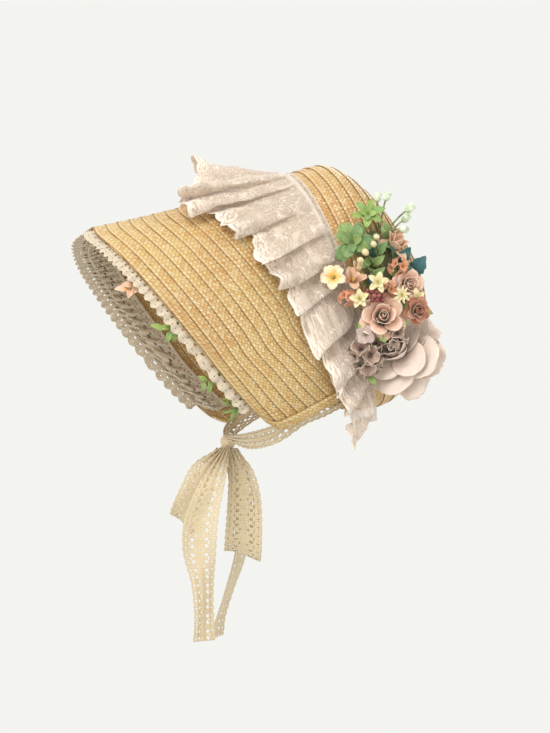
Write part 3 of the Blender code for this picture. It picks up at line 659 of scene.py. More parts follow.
def row_run(run, distance, row_width):
    """Gives every point of a row the run of the row's middle line, so that its plait isn't slanted."""
    rows = np.floor(distance / row_width + 1e-6)
    even = run.copy()
    for row in np.unique(rows):
        members = np.flatnonzero(rows == row)
        even[members] = run[members[len(members) // 2]]
    return even


def shell_faces(outer_rows, inner_rows, columns, every):
    """Faces of an outer and an inner grid, which has every so many rows, and of the rims between."""
    start = outer_rows * columns
    faces = grid_faces(outer_rows, columns).tolist()
    faces += grid_faces(inner_rows, columns, start)[:, ::-1].tolist()
    last_outer = start - columns
    last_inner = start + (inner_rows - 1) * columns
    for j in range(columns - 1):
        faces.append((j, j + 1, start + j + 1, start + j))
        faces.append((last_outer + j + 1, last_outer + j, last_inner + j, last_inner + j + 1))
    for i in range(inner_rows - 1):
        low, high = (min(row * every, outer_rows - 1) for row in (i, i + 1))
        for column, turn in ((0, 1), (columns - 1, -1)):
            outer = [m * columns + column for m in range(low, high + 1)]
            rim = [start + (i + 1) * columns + column, start + i * columns + column]
            faces.append(tuple((outer + rim)[::-turn]))
    return faces


def shell_piece(name, outer, inner, surface, replaced, lay, flip=False):
    """A straw piece of an outer and a coarser inner grid; lay is how its braid runs, along and across."""
    every = (len(outer) - 1) // (len(inner) - 1)
    faces = shell_faces(len(outer), len(inner), outer.shape[1], every)
    if flip:
        faces = [tuple(reversed(face)) for face in faces]
    points = np.concatenate((outer.reshape(-1, 3), inner.reshape(-1, 3)))
    uv = np.stack(lay, -1)
    uv = np.concatenate((uv.reshape(-1, 2), uv[::every].reshape(-1, 2)))
    return new_piece(name, points, faces, surface, [replaced], uv)


def seam_forward():
    """Out of the head opening, towards the face."""
    up = unit(np.array((0, BRIM[0][0] - BRIM[0][2], BRIM[0][1] - BRIM[0][3])))
    return np.array((0, -up[2], up[1]))


class BONNET_OT_straw_brim(bpy.types.Operator):
    """Plaited brim: rows of straw run parallel to the front edge, each over the next"""

    bl_idname = "bonnet.straw_brim"
    bl_label = "Straw brim"

    def execute(self, context):
        settings = context.scene.bonnet_straw
        sides = np.linspace(-1, 1, BRIM_COLUMNS)
        from_edge = row_samples(float(BRIM_LENGTHS.max()), settings.row_width)
        if len(from_edge) % BRIM_EVERY == 0:
            from_edge = np.append(from_edge, from_edge[-1])
        lengths = brim_length(sides)[None, :]
        distance = np.minimum(from_edge[:, None], lengths)
        depth = 1 - distance / lengths
        side = np.broadcast_to(sides[None, :], depth.shape)
        smooth = brim_points(depth, side) + seam_forward() * SEAM_CLEARANCE * (1 - depth)[..., None]
        run = row_run(run_along(smooth), from_edge, settings.row_width)
        normals = brim_normals(depth, side)
        height = plait_height(settings, run, distance)
        outer = smooth + normals * (height - settings.row_step * 0.5)[..., None]
        wall = STRAW_WALL + height * INNER_PLAIT
        inner = (smooth - normals * wall[..., None])[::BRIM_EVERY]
        surface = straw_surface("plaited_straw", settings, settings.row_width, settings.splint_width)
        item = shell_piece("straw_brim", outer, inner, surface, "brim", (run, distance))
        merge_doubles(item)
        return {"FINISHED"}


class BONNET_OT_straw_crown(bpy.types.Operator):
    """Plaited crown: rings of straw from the seam in to the tip"""

    bl_idname = "bonnet.straw_crown"
    bl_label = "Straw crown"

    def execute(self, context):
        settings = context.scene.bonnet_straw
        angles = np.linspace(0, 2 * math.pi, CROWN_COLUMNS + 1)
        depths = np.linspace(0, 2, 81)
        way = lengths_along(crown_points(depths[:, None], angles[None, ::10])).mean(axis=1)
        length = float(way[-1])
        distance = row_samples(length - 0.6 * MM, settings.row_width)
        while len(distance) % CROWN_EVERY != 1:
            distance = np.append(distance, distance[-1])
        depth = np.interp(distance, way, depths)[:, None] + 0 * angles[None, :]
        angle = np.broadcast_to(angles[None, :], depth.shape)
        smooth = crown_points(depth, angle)
        run = row_run(run_along(smooth), distance, settings.row_width)
        normals = crown_normals(depth, angle)
        across = np.broadcast_to(distance[:, None], depth.shape)
        fade = np.clip((length - across) / TIP_FADE, 0, 1)
        height = plait_height(settings, run, across) * (0.3 + 0.7 * fade)
        outer = smooth + normals * (height - settings.row_step * 0.5)[..., None]
        inner = (smooth - normals * STRAW_WALL)[::CROWN_EVERY]
        surface = straw_surface("plaited_straw_crown", settings, settings.row_width,
                                settings.splint_width)
        item = shell_piece("straw_crown", outer, inner, surface, "crown", (run, across), True)
        merge_doubles(item, 6e-5)
        return {"FINISHED"}


class BONNET_OT_neck_braids(bpy.types.Operator):
    """The braid that binds each lower edge of the brim"""

    bl_idname = "bonnet.neck_braids"
    bl_label = "Neck braids"

    def execute(self, context):
        settings = context.scene.bonnet_straw
        splint = settings.splint_width * 1.1
        surface = straw_surface("binding_braid", settings, BRAID_WIDTH + 0.3 * MM, splint)
        across = np.linspace(0, BRAID_WIDTH, 15)
        depth = np.linspace(0.085, 1, 140)
        for name, hand in (("left", 1), ("right", -1)):
            side = hand * (1 - (BRAID_WIDTH - across)[None, :] / ARCH_HALF) + 0 * depth[:, None]
            deep = np.broadcast_to(depth[:, None], side.shape)
            ground = brim_points(deep, side)
            normals = brim_normals(deep, side)
            run = np.broadcast_to(lengths_along(ground[:, 7])[:, None], side.shape)
            wide = np.broadcast_to(across[None, :], side.shape)
            weave = plait_weave(splint, run, wide)
            dome = np.sin(math.pi * np.clip(wide / BRAID_WIDTH, 0.02, 0.98)) ** 0.5
            top = ground + normals * (1.0 + (0.9 + 0.35 * weave) * dome)[..., None] * MM
            base = ground + normals * 0.75 * MM
            outward(shell_piece("binding_braid_" + name, top, base, surface,
                                "neck_braid_" + name, (run, wide)))
        return {"FINISHED"}


def outward(item):
    """Turns a closed shell's faces outwards."""
    build = bmesh.new()
    build.from_mesh(item.data)
    bmesh.ops.remove_doubles(build, verts=build.verts[:], dist=1e-6)
    bmesh.ops.recalc_face_normals(build, faces=build.faces[:])
    build.to_mesh(item.data)
    build.free()


# Lace.


def cut_lace(pattern, along, across):
    """The threads of a lace, where the pattern is above 0, with smooth edges: points and faces."""
    x, y = np.meshgrid(along, across, indexing="ij")
    field = pattern(x, y)
    solid = field > 0
    corner = np.arange(x.size).reshape(x.shape)
    cells = np.stack((corner[:-1, :-1], corner[1:, :-1], corner[1:, 1:], corner[:-1, 1:]), -1)
    cells = cells.reshape(-1, 4)
    flags = solid.ravel()[cells]
    faces = cells[flags.all(1)].tolist()
    points = np.stack((x.ravel(), y.ravel()), -1)
    values = field.ravel()
    extra = []
    crossings = {}

    def crossing(a, b):
        key = (min(a, b), max(a, b))
        if key not in crossings:
            share = min(max(values[a] / (values[a] - values[b]), 0.08), 0.92)
            crossings[key] = x.size + len(extra)
            extra.append(points[a] + (points[b] - points[a]) * share)
        return crossings[key]

    mixed = flags.any(1) & ~flags.all(1)
    for cell, kept in zip(cells[mixed].tolist(), flags[mixed].tolist()):
        face = []
        for k in range(4):
            after = (k + 1) % 4
            if kept[k]:
                face.append(cell[k])
            if kept[k] != kept[after]:
                face.append(crossing(cell[k], cell[after]))
        faces.append(face)
    points = np.concatenate((points, np.array(extra).reshape(-1, 2)))
    used = np.zeros(len(points), bool)
    used[np.concatenate([np.asarray(face) for face in faces])] = True
    index = np.cumsum(used) - 1
    return points[used], [[int(index[k]) for k in face] for face in faces]


def ring(x, y, middle, radius, half):
    return half - np.abs(np.hypot(x - middle[0], y - middle[1]) - radius)


def repeat(value, period):
    """The value within one repeat, centred on 0."""
    return (value + period / 2) % period - period / 2


# Bobbin lace: from wheel to wheel, and from scallop to scallop, in millimetres.
WHEEL_BEAT = 15.0
SCALLOP_BEAT = 7.5


def bobbin_lace(run, wide):
    """Bobbin lace 38 mm wide: wheels of leaves between two trails, with scalloped picot edges."""
    x = run / MM
    y = wide / MM
    side = np.abs(y)
    beat = repeat(x, WHEEL_BEAT)
    reach = np.hypot(beat, y)
    turn = repeat(np.arctan2(y, beat), math.pi / 4)
    plump = np.clip((reach - 1.2) / 9.0, 0, 1)
    leaf = 1.55 * np.sin(math.pi * plump) ** 0.8 - np.abs(reach * np.sin(turn))
    leaf = np.where(plump <= 0, 1.6 - reach, np.where(plump >= 1, -1.0, leaf))
    trail = 1.5 - np.abs(side - 12.2 - 0.7 * np.cos(2 * math.pi * x / SCALLOP_BEAT))
    half_beat = repeat(x + WHEEL_BEAT / 2, WHEEL_BEAT)
    knots = ring(half_beat, y, (0, 0), 2.7, 0.75)
    outer_knots = ring(half_beat, side, (0, 7.6), 2.0, 0.7)
    crossing = np.minimum(np.abs(repeat(x + y, SCALLOP_BEAT)), np.abs(repeat(x - y, SCALLOP_BEAT)))
    net = np.where(side < 12, 0.55 - crossing / DIAGONAL, -1)
    edge = np.abs(np.sin(math.pi * x / SCALLOP_BEAT))
    scallop = 0.85 - np.abs(side - 15.6 - 1.5 * edge)
    spoked = (side > 13) & (side < 16.5) & (side < 15.8 + 1.5 * edge)
    spokes = np.where(spoked, 0.55 - np.abs(repeat(x, 2.5)), -1)
    picots = ring(repeat(x, 2.5), side - 17.1 - 1.3 * edge, (0, 0), 0.35, 0.55)
    return np.maximum.reduce((leaf, trail, knots, outer_knots, net, scallop, spokes, picots))


# Holes of the crochet: shift and beat along it, squeeze along, place and squeeze across, radius.
CROCHET_HOLES = (
    (0.0, 4.0, 1.0, 6.5, 0.8, 0.95),
    (2.0, 4.0, 1.0, 10.5, 0.8, 0.95),
    (0.0, 8.0, 0.9, 17.0, 0.75, 1.45),
    (4.0, 8.0, 0.9, 21.0, 0.8, 1.3),
    (5.5, 5.5, 1.0, 25.6, 1.0, 0.9),
)


def crochet_frill(run, wide):
    """Crochet edging 31 mm deep: a plain heading, rows of holes and a scalloped edge."""
    x = run / MM
    y = wide / MM
    edge = 27.4 + 3.2 * np.abs(np.sin(math.pi * x / 11.0)) - y
    holes = [np.hypot(repeat(x + shift, beat) * narrow, (y - middle) * flat) - radius
             for shift, beat, narrow, middle, flat, radius in CROCHET_HOLES]
    return np.minimum.reduce([edge] + holes)


def ruffle_edge(run, share):
    """Embroidered scallops along the ruffle's free edge."""
    edge = 1.0 - 0.035 * (1 - np.abs(np.sin(math.pi * run / SCALLOP_LENGTH)))
    return edge - share


def soft_sheet(name, points, faces, thickness, material, replaces, uv):
    item = new_piece(name, points, faces, material, replaces, uv)
    apply_modifier(item, "SOLIDIFY", thickness=thickness, offset=0.0, use_even_offset=False)
    return item


# The least share of a lace's flat size that its threads take up.
LEAST_THREAD = 0.31


def cloth_area(points, faces):
    """Area of a sheet of points before it gets its thickness."""
    total = 0.0
    for size in {len(face) for face in faces}:
        corners = points[np.array([face for face in faces if len(face) == size])]
        for k in range(1, size - 1):
            cross = np.cross(corners[:, k] - corners[:, 0], corners[:, k + 1] - corners[:, 0])
            total += float(np.linalg.norm(cross, axis=-1).sum()) / 2
    return total


def sheet_area(points, faces, width, length):
    """The threads' area, held between what the flat lace can have at least and at most."""
    return min(max(cloth_area(points, faces), LEAST_THREAD * width * length), width * length)


def ribbon_points(pairs, width, run, wide):
    """Places of a ribbon's points between the two edges of its rows, gathered where they close in."""
    fine = np.linspace(0, 1, 241)
    rows = smooth_rows(pairs, fine)
    middle = (rows[:, :3] + rows[:, 3:]) / 2
    way = lengths_along(middle)
    place = np.interp(run, way, fine)
    rows = smooth_rows(pairs, place)
    ahead = smooth_rows(pairs, np.minimum(place + STEP, 1))
    ahead = ahead - smooth_rows(pairs, np.maximum(place - STEP, 0))
    first, second = rows[..., :3], rows[..., 3:]
    spread = second - first
    share = wide / width + 0.5
    normal = unit(np.cross(spread, ahead[..., :3] + ahead[..., 3:]))
    close = np.clip(1 - np.linalg.norm(spread, axis=-1) / (0.8 * width), 0, 1)
    gathers = close * 2.6 * MM * np.sin(2 * math.pi * 3.5 * share + 0.6)
    settled = np.clip((way[-1] - run) / (9 * MM), 0, 1)
    waves = 1.1 * MM * np.sin(run / (17 * MM) + 5 * share) * settled
    cup = -1.6 * MM * (2 * share - 1) ** 2
    lift = gathers + (1 - close) * (waves + cup)
    return first + spread * share[..., None] + normal * lift[..., None], float(way[-1])


def lay_pairs(table):
    pairs = []
    for along, up, out, width, across_along, across_up, across_out in table:
        middle = seen(along, up, out)
        across = seen(across_along, across_up, across_out)
        across = across / np.linalg.norm(across) * width * MM / 2
        pairs.append(np.concatenate((middle - across, middle + across)))
    return np.array(pairs)


def tie_pairs(hand):
    pairs = []
    for depth, gap in TIE_INSIDE:
        inset = STRAW_WALL + (gap + 0.6) * MM
        upper_side = 1 - TIE_ABOVE_EDGE / ARCH_HALF
        upper = brim_points(depth, upper_side) - brim_normals(depth, upper_side) * inset
        edge = brim_points(depth, 1.0) - brim_normals(depth, 1.0) * inset
        lower = edge + unit(edge - upper) * TIE_BELOW_EDGE
        pairs.append(np.concatenate((upper, lower)))
    pairs += [np.array(row) * MM for row in TIE_FREE]
    return np.array(pairs) * np.array((hand, 1, 1, hand, 1, 1))


TIE_WIDTH = 38 * MM
TIE_THICKNESS = 0.75 * MM
LACE_STEP = 1.06 * MM


class BONNET_OT_ties(bpy.types.Operator):
    """Bobbin lace ties, from the seam under the brim's edges to the bow, its loops and tails"""

    bl_idname = "bonnet.ties"
    bl_label = "Ties and bow"

    def execute(self, context):
        ecru = tuple(context.scene.bonnet_lace.ecru)
        # The darker copy of the thread is the colour of the painted shade between the cords.
        surface = lace_surface("ecru_thread", ecru, shade(ecru, 0.84))
        ribbons = (
            ("tie_left", tie_pairs(1), "stretched", "brim"),
            ("tie_right", tie_pairs(-1), "stretched", "brim"),
            ("bow_loop_front", lay_pairs(BOW_LOOP_FRONT), "folded", "bow_knot"),
            ("bow_loop_back", lay_pairs(BOW_LOOP_BACK), "folded", "bow_knot"),
            ("tie_tail_front", lay_pairs(TIE_TAIL_FRONT), "hung", "bow_knot"),
            ("tie_tail_back", lay_pairs(TIE_TAIL_BACK), "hung", "bow_knot"),
        )
        for name, pairs, held, carrier in ribbons:
            length = ribbon_points(pairs, TIE_WIDTH, np.zeros(1), np.zeros(1))[1]
            along = np.linspace(0, length, int(length / LACE_STEP) + 1)
            across = np.linspace(-TIE_WIDTH / 2, TIE_WIDTH / 2, int(TIE_WIDTH / LACE_STEP) + 1)
            cloth, faces = cut_lace(bobbin_lace, along, across)
            points = ribbon_points(pairs, TIE_WIDTH, cloth[:, 0], cloth[:, 1])[0]
            item = soft_sheet(name + "_lace", points, faces, TIE_THICKNESS, surface,
                              [name], cloth)
            sheet_area(points, faces, TIE_WIDTH, length)
        self.make_knot(surface)
        return {"FINISHED"}

    def make_knot(self, surface):
        """The tight wrap of lace in the middle of the bow."""
        low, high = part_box("bow_knot")
        middle = np.array((low + high) / 2)
        half = np.array((high - low) / 2)
        turns = np.linspace(0, 2 * math.pi, 49)[:-1]
        tilts = np.linspace(-math.pi / 2, math.pi / 2, 29)
        turn, tilt = np.meshgrid(turns, tilts)
        folds = 1 + 0.07 * np.sin(5 * tilt + 1.2 * np.sin(turn)) * np.cos(tilt)
        folds = folds + 0.03 * np.sin(9 * tilt + turn)
        local = np.stack((np.sin(tilt), np.cos(tilt) * np.cos(turn), np.cos(tilt) * np.sin(turn)), -1)
        points = middle + local * half * folds[..., None]
        faces = grid_faces(len(tilts), len(turns), 0, True)
        uv = np.stack((turn * half[1], tilt * half[0]), -1)
        item = new_piece("knotted_bow", points.reshape(-1, 3), faces.tolist(), surface,
                         ["bow_knot"], uv)
        merge_doubles(item)
        outward(item)


RUFFLE_TAIL = 38 * MM
BAND_LIFT = 1.9 * MM
RUFFLE_LIFT = 4.0 * MM
RUFFLE_WIDTH = 118 * MM
RUFFLE_FULLNESS = 1.75
RUFFLE_SEED = 11
FOLD_COLUMNS = 37
# Reach of the ruffle: at the neck, how much more at the top, and still more beside the top.
NECK_REACH = 45 * MM
TOP_REACH = 53 * MM
LOBE_REACH = 33 * MM
# How far the ruffle stands off the straw at the top and beside it, and at least anywhere.
STAND_HEIGHT = 18 * MM
LOBE_HEIGHT = 9 * MM
LEAST_LIFT = 1.6 * MM
HEADING_WIDTH = 16 * MM
HEADING_WRINKLES = 330


def swell(side, middle, spread):
    """1 at a place on the arch, falling softly to 0 on both sides of it."""
    return np.exp(-((side - middle) / spread) ** 2)


class BONNET_OT_ruffle(bpy.types.Operator):
    """Gathered ruffle of sheer embroidered lace, with the band that it is sewn on by"""

    bl_idname = "bonnet.ruffle"
    bl_label = "Lace ruffle"

    def execute(self, context):
        settings = context.scene.bonnet_lace
        sheer = {"net_alpha": 0.30, "width": RUFFLE_WIDTH}
        surface = lace_surface("organza_lace", settings.organza, settings.organza_net, 0.0005, sheer)
        self.make_ruffle(settings, surface)
        self.make_band(surface)
        return {"FINISHED"}

    def make_ruffle(self, settings, surface):
        """Deep soft folds that open from the gathers and lie over each other, standing at the top."""
        draw = random.Random(RUFFLE_SEED)
        reach = 1 + RUFFLE_TAIL / ARCH_HALF
        folds = settings.folds
        knots = np.arange(folds + 1)

        def per_fold(low, high):
            return np.array([draw.uniform(low, high) for _ in knots])

        strength = per_fold(0.35, 1.6)
        lean = per_fold(0.10, 1.0)
        flutter = per_fold(0, ANY_TURN)
        deeper = per_fold(-0.12, 0.08)
        uneven = np.cumsum(per_fold(0.5, 1.6))
        uneven = (uneven - uneven[0]) / (uneven[-1] - uneven[0]) * folds
        cloth_length = 2 * reach * ARCH_HALF * RUFFLE_FULLNESS
        along = np.linspace(0, cloth_length, folds * FOLD_COLUMNS + 1)
        across = np.concatenate((np.linspace(0, 0.84, 22), np.linspace(0.86, 1.0, 11)))
        cloth, faces = cut_lace(ruffle_edge, along, across)
        k = cloth[:, 0] / cloth_length
        share = cloth[:, 1]
        count = np.interp(k * folds, uneven, knots)
        phase = 2 * math.pi * count
        own, own_lean, own_flutter, own_depth = (
            np.interp(count, knots, values) for values in (strength, lean, flutter, deeper))
        side = reach * (2 * k - 1)
        hand = np.tanh(side / 0.1)
        wave = 0.5 - 0.5 * np.cos(phase)
        upright = swell(side, -0.03, 0.12)
        stand = (STAND_HEIGHT * upright + LOBE_HEIGHT * swell(side, 0.12, 0.14)) * share ** 1.2
        flare = share ** 0.7
        crinkle = np.sin(2.5 * phase + own_flutter) * (share ** 2 + 0.7 * share ** 6)
        crinkle = crinkle + 0.8 * np.sin(own_flutter * 3 + 11 * share + 0.8 * phase) * share
        crinkle = crinkle + 0.4 * np.sin(own_flutter + 31 * share + 2 * phase) * share
        rise = wave ** 1.3 * (0.8 + 12.5 * flare * own) + 1.5 * crinkle * (1 + wave)
        lift = np.maximum(RUFFLE_LIFT + rise * MM + stand, LEAST_LIFT)
        fold_width = reach / folds * 2
        place = side + fold_width * flare * (0.10 * np.sin(2 * phase) + hand * own_lean * (wave - 0.35))
        place = place + 0.09 * np.sin(own_flutter + 5 * share) * share * fold_width
        width = NECK_REACH + TOP_REACH * np.maximum(0, 1 - np.abs(side) ** 1.6)
        width = width * (1 + own_depth) + LOBE_REACH * swell(side, 0.16, 0.15)
        distance = 2 * MM + width * share * (0.93 + 0.12 * wave * share) * (1 - 0.30 * upright * share)
        inner = np.clip(place, -1, 1)
        points = brim_offset(inner, distance, lift)
        below = (np.abs(place) - np.abs(inner)) * ARCH_HALF
        points = points + np.array((0, 0.12, -1)) * below[:, None]
        item = soft_sheet("ruffle_of_lace", points, faces, 0.35 * MM, surface,
                          ["lace_ruffle"], cloth)
        sheet_area(points, faces, RUFFLE_WIDTH, cloth_length)

    def make_band(self, surface):
        """The flat gathered heading over the seam."""
        rows, columns = 9, 501
        side = np.linspace(-1, 1, columns)[None, :] + np.zeros((rows, 1))
        share = np.linspace(0, 1, rows)[:, None] + 0 * side
        angle = np.radians(BRIM[0][8]) * side
        small = 0.35 * MM * np.sin(side * HEADING_WRINKLES) * np.sin(math.pi * share)
        behind = crown_points(0.03, angle) + crown_normals(0.03, angle) * BAND_LIFT
        middle = crown_points(0.0, angle) + brim_normals(0.01, side) * (BAND_LIFT + 0.3 * MM)
        front = brim_offset(side, 6.5 * MM, BAND_LIFT)
        first = np.clip(share * 2, 0, 1)[..., None]
        second = np.clip(share * 2 - 1, 0, 1)[..., None]
        points = behind + (middle - behind) * first + (front - middle) * second
        points = points + brim_normals(0.02, side) * small[..., None]
        uv = np.stack((side * ARCH_HALF * 1.3, share * 0.35), -1)
        faces = grid_faces(rows, columns).tolist()
        points = points.reshape(-1, 3)
        item = soft_sheet("ruffle_heading", points, faces, 0.5 * MM, surface,
                          ["ruffle_band"], uv)
        length = 2 * ARCH_HALF
        sheet_area(points, faces, HEADING_WIDTH, length)


# How far along the arch the frill goes, its depth and its pattern's step.
FRILL_LIMIT = 0.93
FRILL_DEPTH = 31 * MM
FRILL_FULLNESS = 1.25
FRILL_STEP = 1.3 * MM
# Layers of the frill: how far inside the edge they start, depth and lift off the straw in
# millimetres, height of the pleats, how far they turn over, shift of the pleats and solids.
FRILL_LAYERS = (
    ("crochet_frill", 20, 31, STRAW_WALL / MM + 1.4, 1.6, 0.05, 0.0, ["brim_frill"]),
    ("crochet_frill_inner", 29, 24, STRAW_WALL / MM + 4.4, 4.8, 0.36, 0.5, []),
)


class BONNET_OT_brim_frill(bpy.types.Operator):
    """Pleated crochet frill inside the front edge, in two layers"""

    bl_idname = "bonnet.brim_frill"
    bl_label = "Crochet frill"

    def execute(self, context):
        settings = context.scene.bonnet_lace
        cotton = tuple(settings.cotton)
        # The darker copy of the thread is the colour of the painted shade between the cords.
        surface = lace_surface("cotton_thread", cotton, shade(cotton, 0.80), 0.0008)
        length = 2 * FRILL_LIMIT * ARCH_HALF * FRILL_FULLNESS
        along = np.linspace(0, length, int(length / FRILL_STEP) + 1)
        across = np.linspace(0, FRILL_DEPTH, 26)
        pleat = FRILL_LIMIT / settings.pleats
        for name, inside, deep, lift, wave_height, turn_over, offset, replaced in FRILL_LAYERS:
            cloth, faces = cut_lace(crochet_frill, along, across)
            side = FRILL_LIMIT * (2 * cloth[:, 0] / length - 1)
            share = cloth[:, 1] / FRILL_DEPTH
            phase = 2 * math.pi * (settings.pleats * cloth[:, 0] / length + offset)
            wave = 0.5 - 0.5 * np.cos(phase)
            open_share = 0.30 + 0.70 * share
            depth = (lift + wave_height * wave * open_share) * MM
            place = side + turn_over * pleat * np.sin(2 * phase) * share
            distance = brim_length(side) + (deep * share - inside) * MM
            points = brim_offset(place, distance, -depth)
            item = soft_sheet(name, points, faces, 0.7 * MM, surface, replaced, cloth)
            deep * MM
            sheet_area(points, faces, deep * MM, length)
        return {"FINISHED"}


# Flowers.

GOLDEN_ANGLE = 2.39996
CLOTH = 0.35 * MM
THIN_CLOTH = 0.3 * MM
PETAL_GAP = 1.6 * MM

# Rows of petals: how many, root radius, length, width, opening at the root and at the tip in
# degrees (0 lies flat, 90 stands up), cup across, ruffle of the edge, pointedness, and whether the
# petals wrap round the flower's middle.
PetalRow = namedtuple("PetalRow", "count root length width start end cup ruffle point wrap")

ROSE = (
    PetalRow(2, 1.0, 13.0, 8, 92, 104, 0.2, 0.2, 0.0, True),
    PetalRow(3, 2.4, 14.0, 13, 90, 97, 0.2, 0.3, 0.0, True),
    PetalRow(3, 4.2, 14.5, 18, 88, 88, 0.2, 0.4, 0.0, True),
    PetalRow(4, 6.2, 15.0, 19, 80, 66, 0.3, 0.6, 0.0, True),
    PetalRow(5, 8.0, 15.5, 20, 62, 16, 0.4, 1.0, 0.0, True),
    PetalRow(5, 9.0, 15.0, 22, 38, -30, 0.5, 1.4, 0.0, True),
)
FLORET = (PetalRow(4, 0.4, 7.4, 7.8, 38, -12, 0.9, 0.9, 0.1, False),)
CRINKLED = (PetalRow(4, 0.6, 8.4, 8.6, 66, 10, 1.2, 2.0, 0.0, False),)
STAR = (
    PetalRow(5, 0.8, 9.5, 5.4, 30, -12, 0.9, 0.3, 0.8, False),
    PetalRow(5, 0.6, 7.0, 4.0, 48, 20, 0.6, 0.2, 0.8, False),
    PetalRow(4, 0.4, 4.4, 2.4, 66, 52, 0.4, 0.1, 0.9, False),
)
SPIKES = (
    PetalRow(9, 0.6, 9.0, 2.6, 26, 4, 0.3, 0.2, 1.0, False),
    PetalRow(8, 0.4, 7.4, 2.2, 52, 36, 0.2, 0.2, 1.0, False),
    PetalRow(5, 0.3, 5.0, 1.8, 74, 62, 0.2, 0.1, 1.0, False),
)
SMALL_CORAL = (PetalRow(5, 0.5, 5.6, 4.8, 50, 4, 0.8, 0.5, 0.3, False),)
PLUMERIA = (
    PetalRow(5, 1.6, 13.5, 11.5, 50, -20, 1.6, 1.1, 0.15, False),
)
PEACH_BLOSSOM = (
    PetalRow(2, 1.6, 17, 10, 82, 70, 2.4, 0.6, 0.25, False),
    PetalRow(4, 2.4, 15, 11, 40, -6, 1.8, 1.1, 0.25, False),
)
TULIP = (
    PetalRow(3, 1.6, 17, 11, 68, 88, 1.6, 0.4, 0.25, True),
    PetalRow(4, 3.0, 18, 12, 58, 70, 1.6, 0.7, 0.25, True),
    PetalRow(3, 3.4, 15, 9, 20, -20, 1.6, 0.7, 0.25, False),
)
BUD_PETALS = (
    PetalRow(3, 1.0, 13, 9, 84, 104, 1.2, 0.3, 0.3, True),
    PetalRow(3, 2.0, 13, 9, 66, 84, 1.2, 0.4, 0.3, True),
)
LIGHT_ROSETTE = (
    PetalRow(4, 1.0, 9, 5.6, 56, 18, 1.0, 0.3, 0.7, False),
    PetalRow(6, 2.6, 14, 7.0, 30, -10, 1.2, 0.3, 0.7, False),
)
DARK_ROSETTE = (
    PetalRow(3, 1.6, 11, 9, 56, 14, 1.8, 0.7, 0.15, False),
    PetalRow(4, 2.8, 15, 12, 30, -10, 2.0, 0.9, 0.1, False),
    PetalRow(3, 3.6, 18, 14, 10, -24, 1.8, 0.9, 0.1, False),
)
PEONY_ROWS = (
    ("peony_outer", 0.0, "mauve", (
        PetalRow(6, 6, 42, 54, -4, -30, 1.4, 5.0, 0.0, True),
        PetalRow(4, 6, 38, 60, 12, -14, 1.6, 2.4, 0.0, True))),
    ("peony_middle", 2.5, "mauve", (
        PetalRow(4, 6, 31, 50, 28, -4, 1.4, 1.8, 0.0, True),)),
    ("peony_inner", 4.0, "mauve", (
        PetalRow(4, 8, 24, 36, 64, 80, 0.8, 0.8, 0.0, True),
        PetalRow(4, 6, 22, 28, 74, 92, 0.8, 0.9, 0.0, True))),
    ("peony_heart", 5.0, "deep_mauve", (
        PetalRow(5, 5, 19, 15, 72, 96, 0.6, 2.0, 0.0, False),
        PetalRow(4, 3, 15, 12, 82, 104, 0.4, 1.6, 0.0, False))),
)

# Blossoms: name, place, how it faces, size over its petal rows' own, the rows and its colour.
Bloom = namedtuple("Bloom", "name along up out face_along face_up size rows paint")
BLOOMS = (
    Bloom("rose_small", 66, -40, 104, 0.05, 0.15, 1.0, ROSE, "beige_pink"),
    Bloom("rose_back", 91, -9, 82, 0.35, 0.1, 0.72, ROSE, "beige_pink"),
    Bloom("rust_rose", 98, -34, 104, 0.35, 0.0, 0.60, ROSE, "rust"),
    Bloom("plumeria", 20, -3, 106, -0.15, 0.25, 0.92, PLUMERIA, "plumeria_cream"),
    Bloom("peach_blossom", 38, -6, 99, 0.0, 0.8, 0.85, PEACH_BLOSSOM, "peach"),
    Bloom("peach_bud", 43, 4, 94, 0.15, 0.9, 0.85, BUD_PETALS, "plumeria_cream"),
    Bloom("tulip", 78, 27, 80, 0.5, 0.9, 0.95, TULIP, "peach"),
    Bloom("star_blossom_1", 61, -8, 118, 0.0, 0.1, 1.05, STAR, "cream"),
    Bloom("star_blossom_2", 44, -23, 116, -0.1, 0.0, 0.95, STAR, "cream"),
    Bloom("star_blossom_3", 83, -20, 116, 0.1, 0.1, 0.95, SPIKES, "cream"),
    Bloom("star_blossom_4", 99, -22, 98, 0.3, 0.1, 0.9, STAR, "cream"),
    Bloom("leaf_rosette_light", 54, 59, 80, 0.0, 0.3, 1.0, LIGHT_ROSETTE, "light_leaf"),
    Bloom("leaf_rosette_dark", 38, 31, 95, -0.1, 0.1, 1.0, DARK_ROSETTE, "green_leaf"),
    Bloom("mauve_petal", 50, -57, 110, -0.2, 0.0, 1.25, FLORET, "grey_mauve"),
)

# Clusters: name, place, radius of the dome, how many florets, a floret's size, rows and colour.
Cluster = namedtuple("Cluster", "name along up out dome count size rows paint")
CLUSTERS = (
    Cluster("hydrangea_low", 51, -76, 96, 13, 11, 1.15, CRINKLED, "mauve_brown"),
    Cluster("hydrangea_high", 76, -56, 104, 9, 8, 0.95, CRINKLED, "mauve_brown"),
    Cluster("coral_blossom_1", 83, 8, 88, 7, 7, 0.85, SMALL_CORAL, "coral"),
    Cluster("coral_blossom_2", 71, -14, 104, 6, 6, 0.85, SMALL_CORAL, "coral"),
    Cluster("coral_blossom_3", 33, -22, 104, 6, 6, 0.85, SMALL_CORAL, "coral"),
)

# Single leaves: name, root, tip, width, lobes along each edge and colour.
Leaf = namedtuple("Leaf", "name along up out tip_along tip_up tip_out width lobes paint")
LEAVES = (
    Leaf("leaf_green", 60, 21, 86, 71, 31, 97, 11, 0, "green_leaf"),
    Leaf("leaf_teal", 84, 13, 78, 94, 27, 83, 12, 0, "teal_leaf"),
    Leaf("ivy_leaf", 97, 3, 70, 109, 19, 77, 17, 3, "teal_leaf"),
)

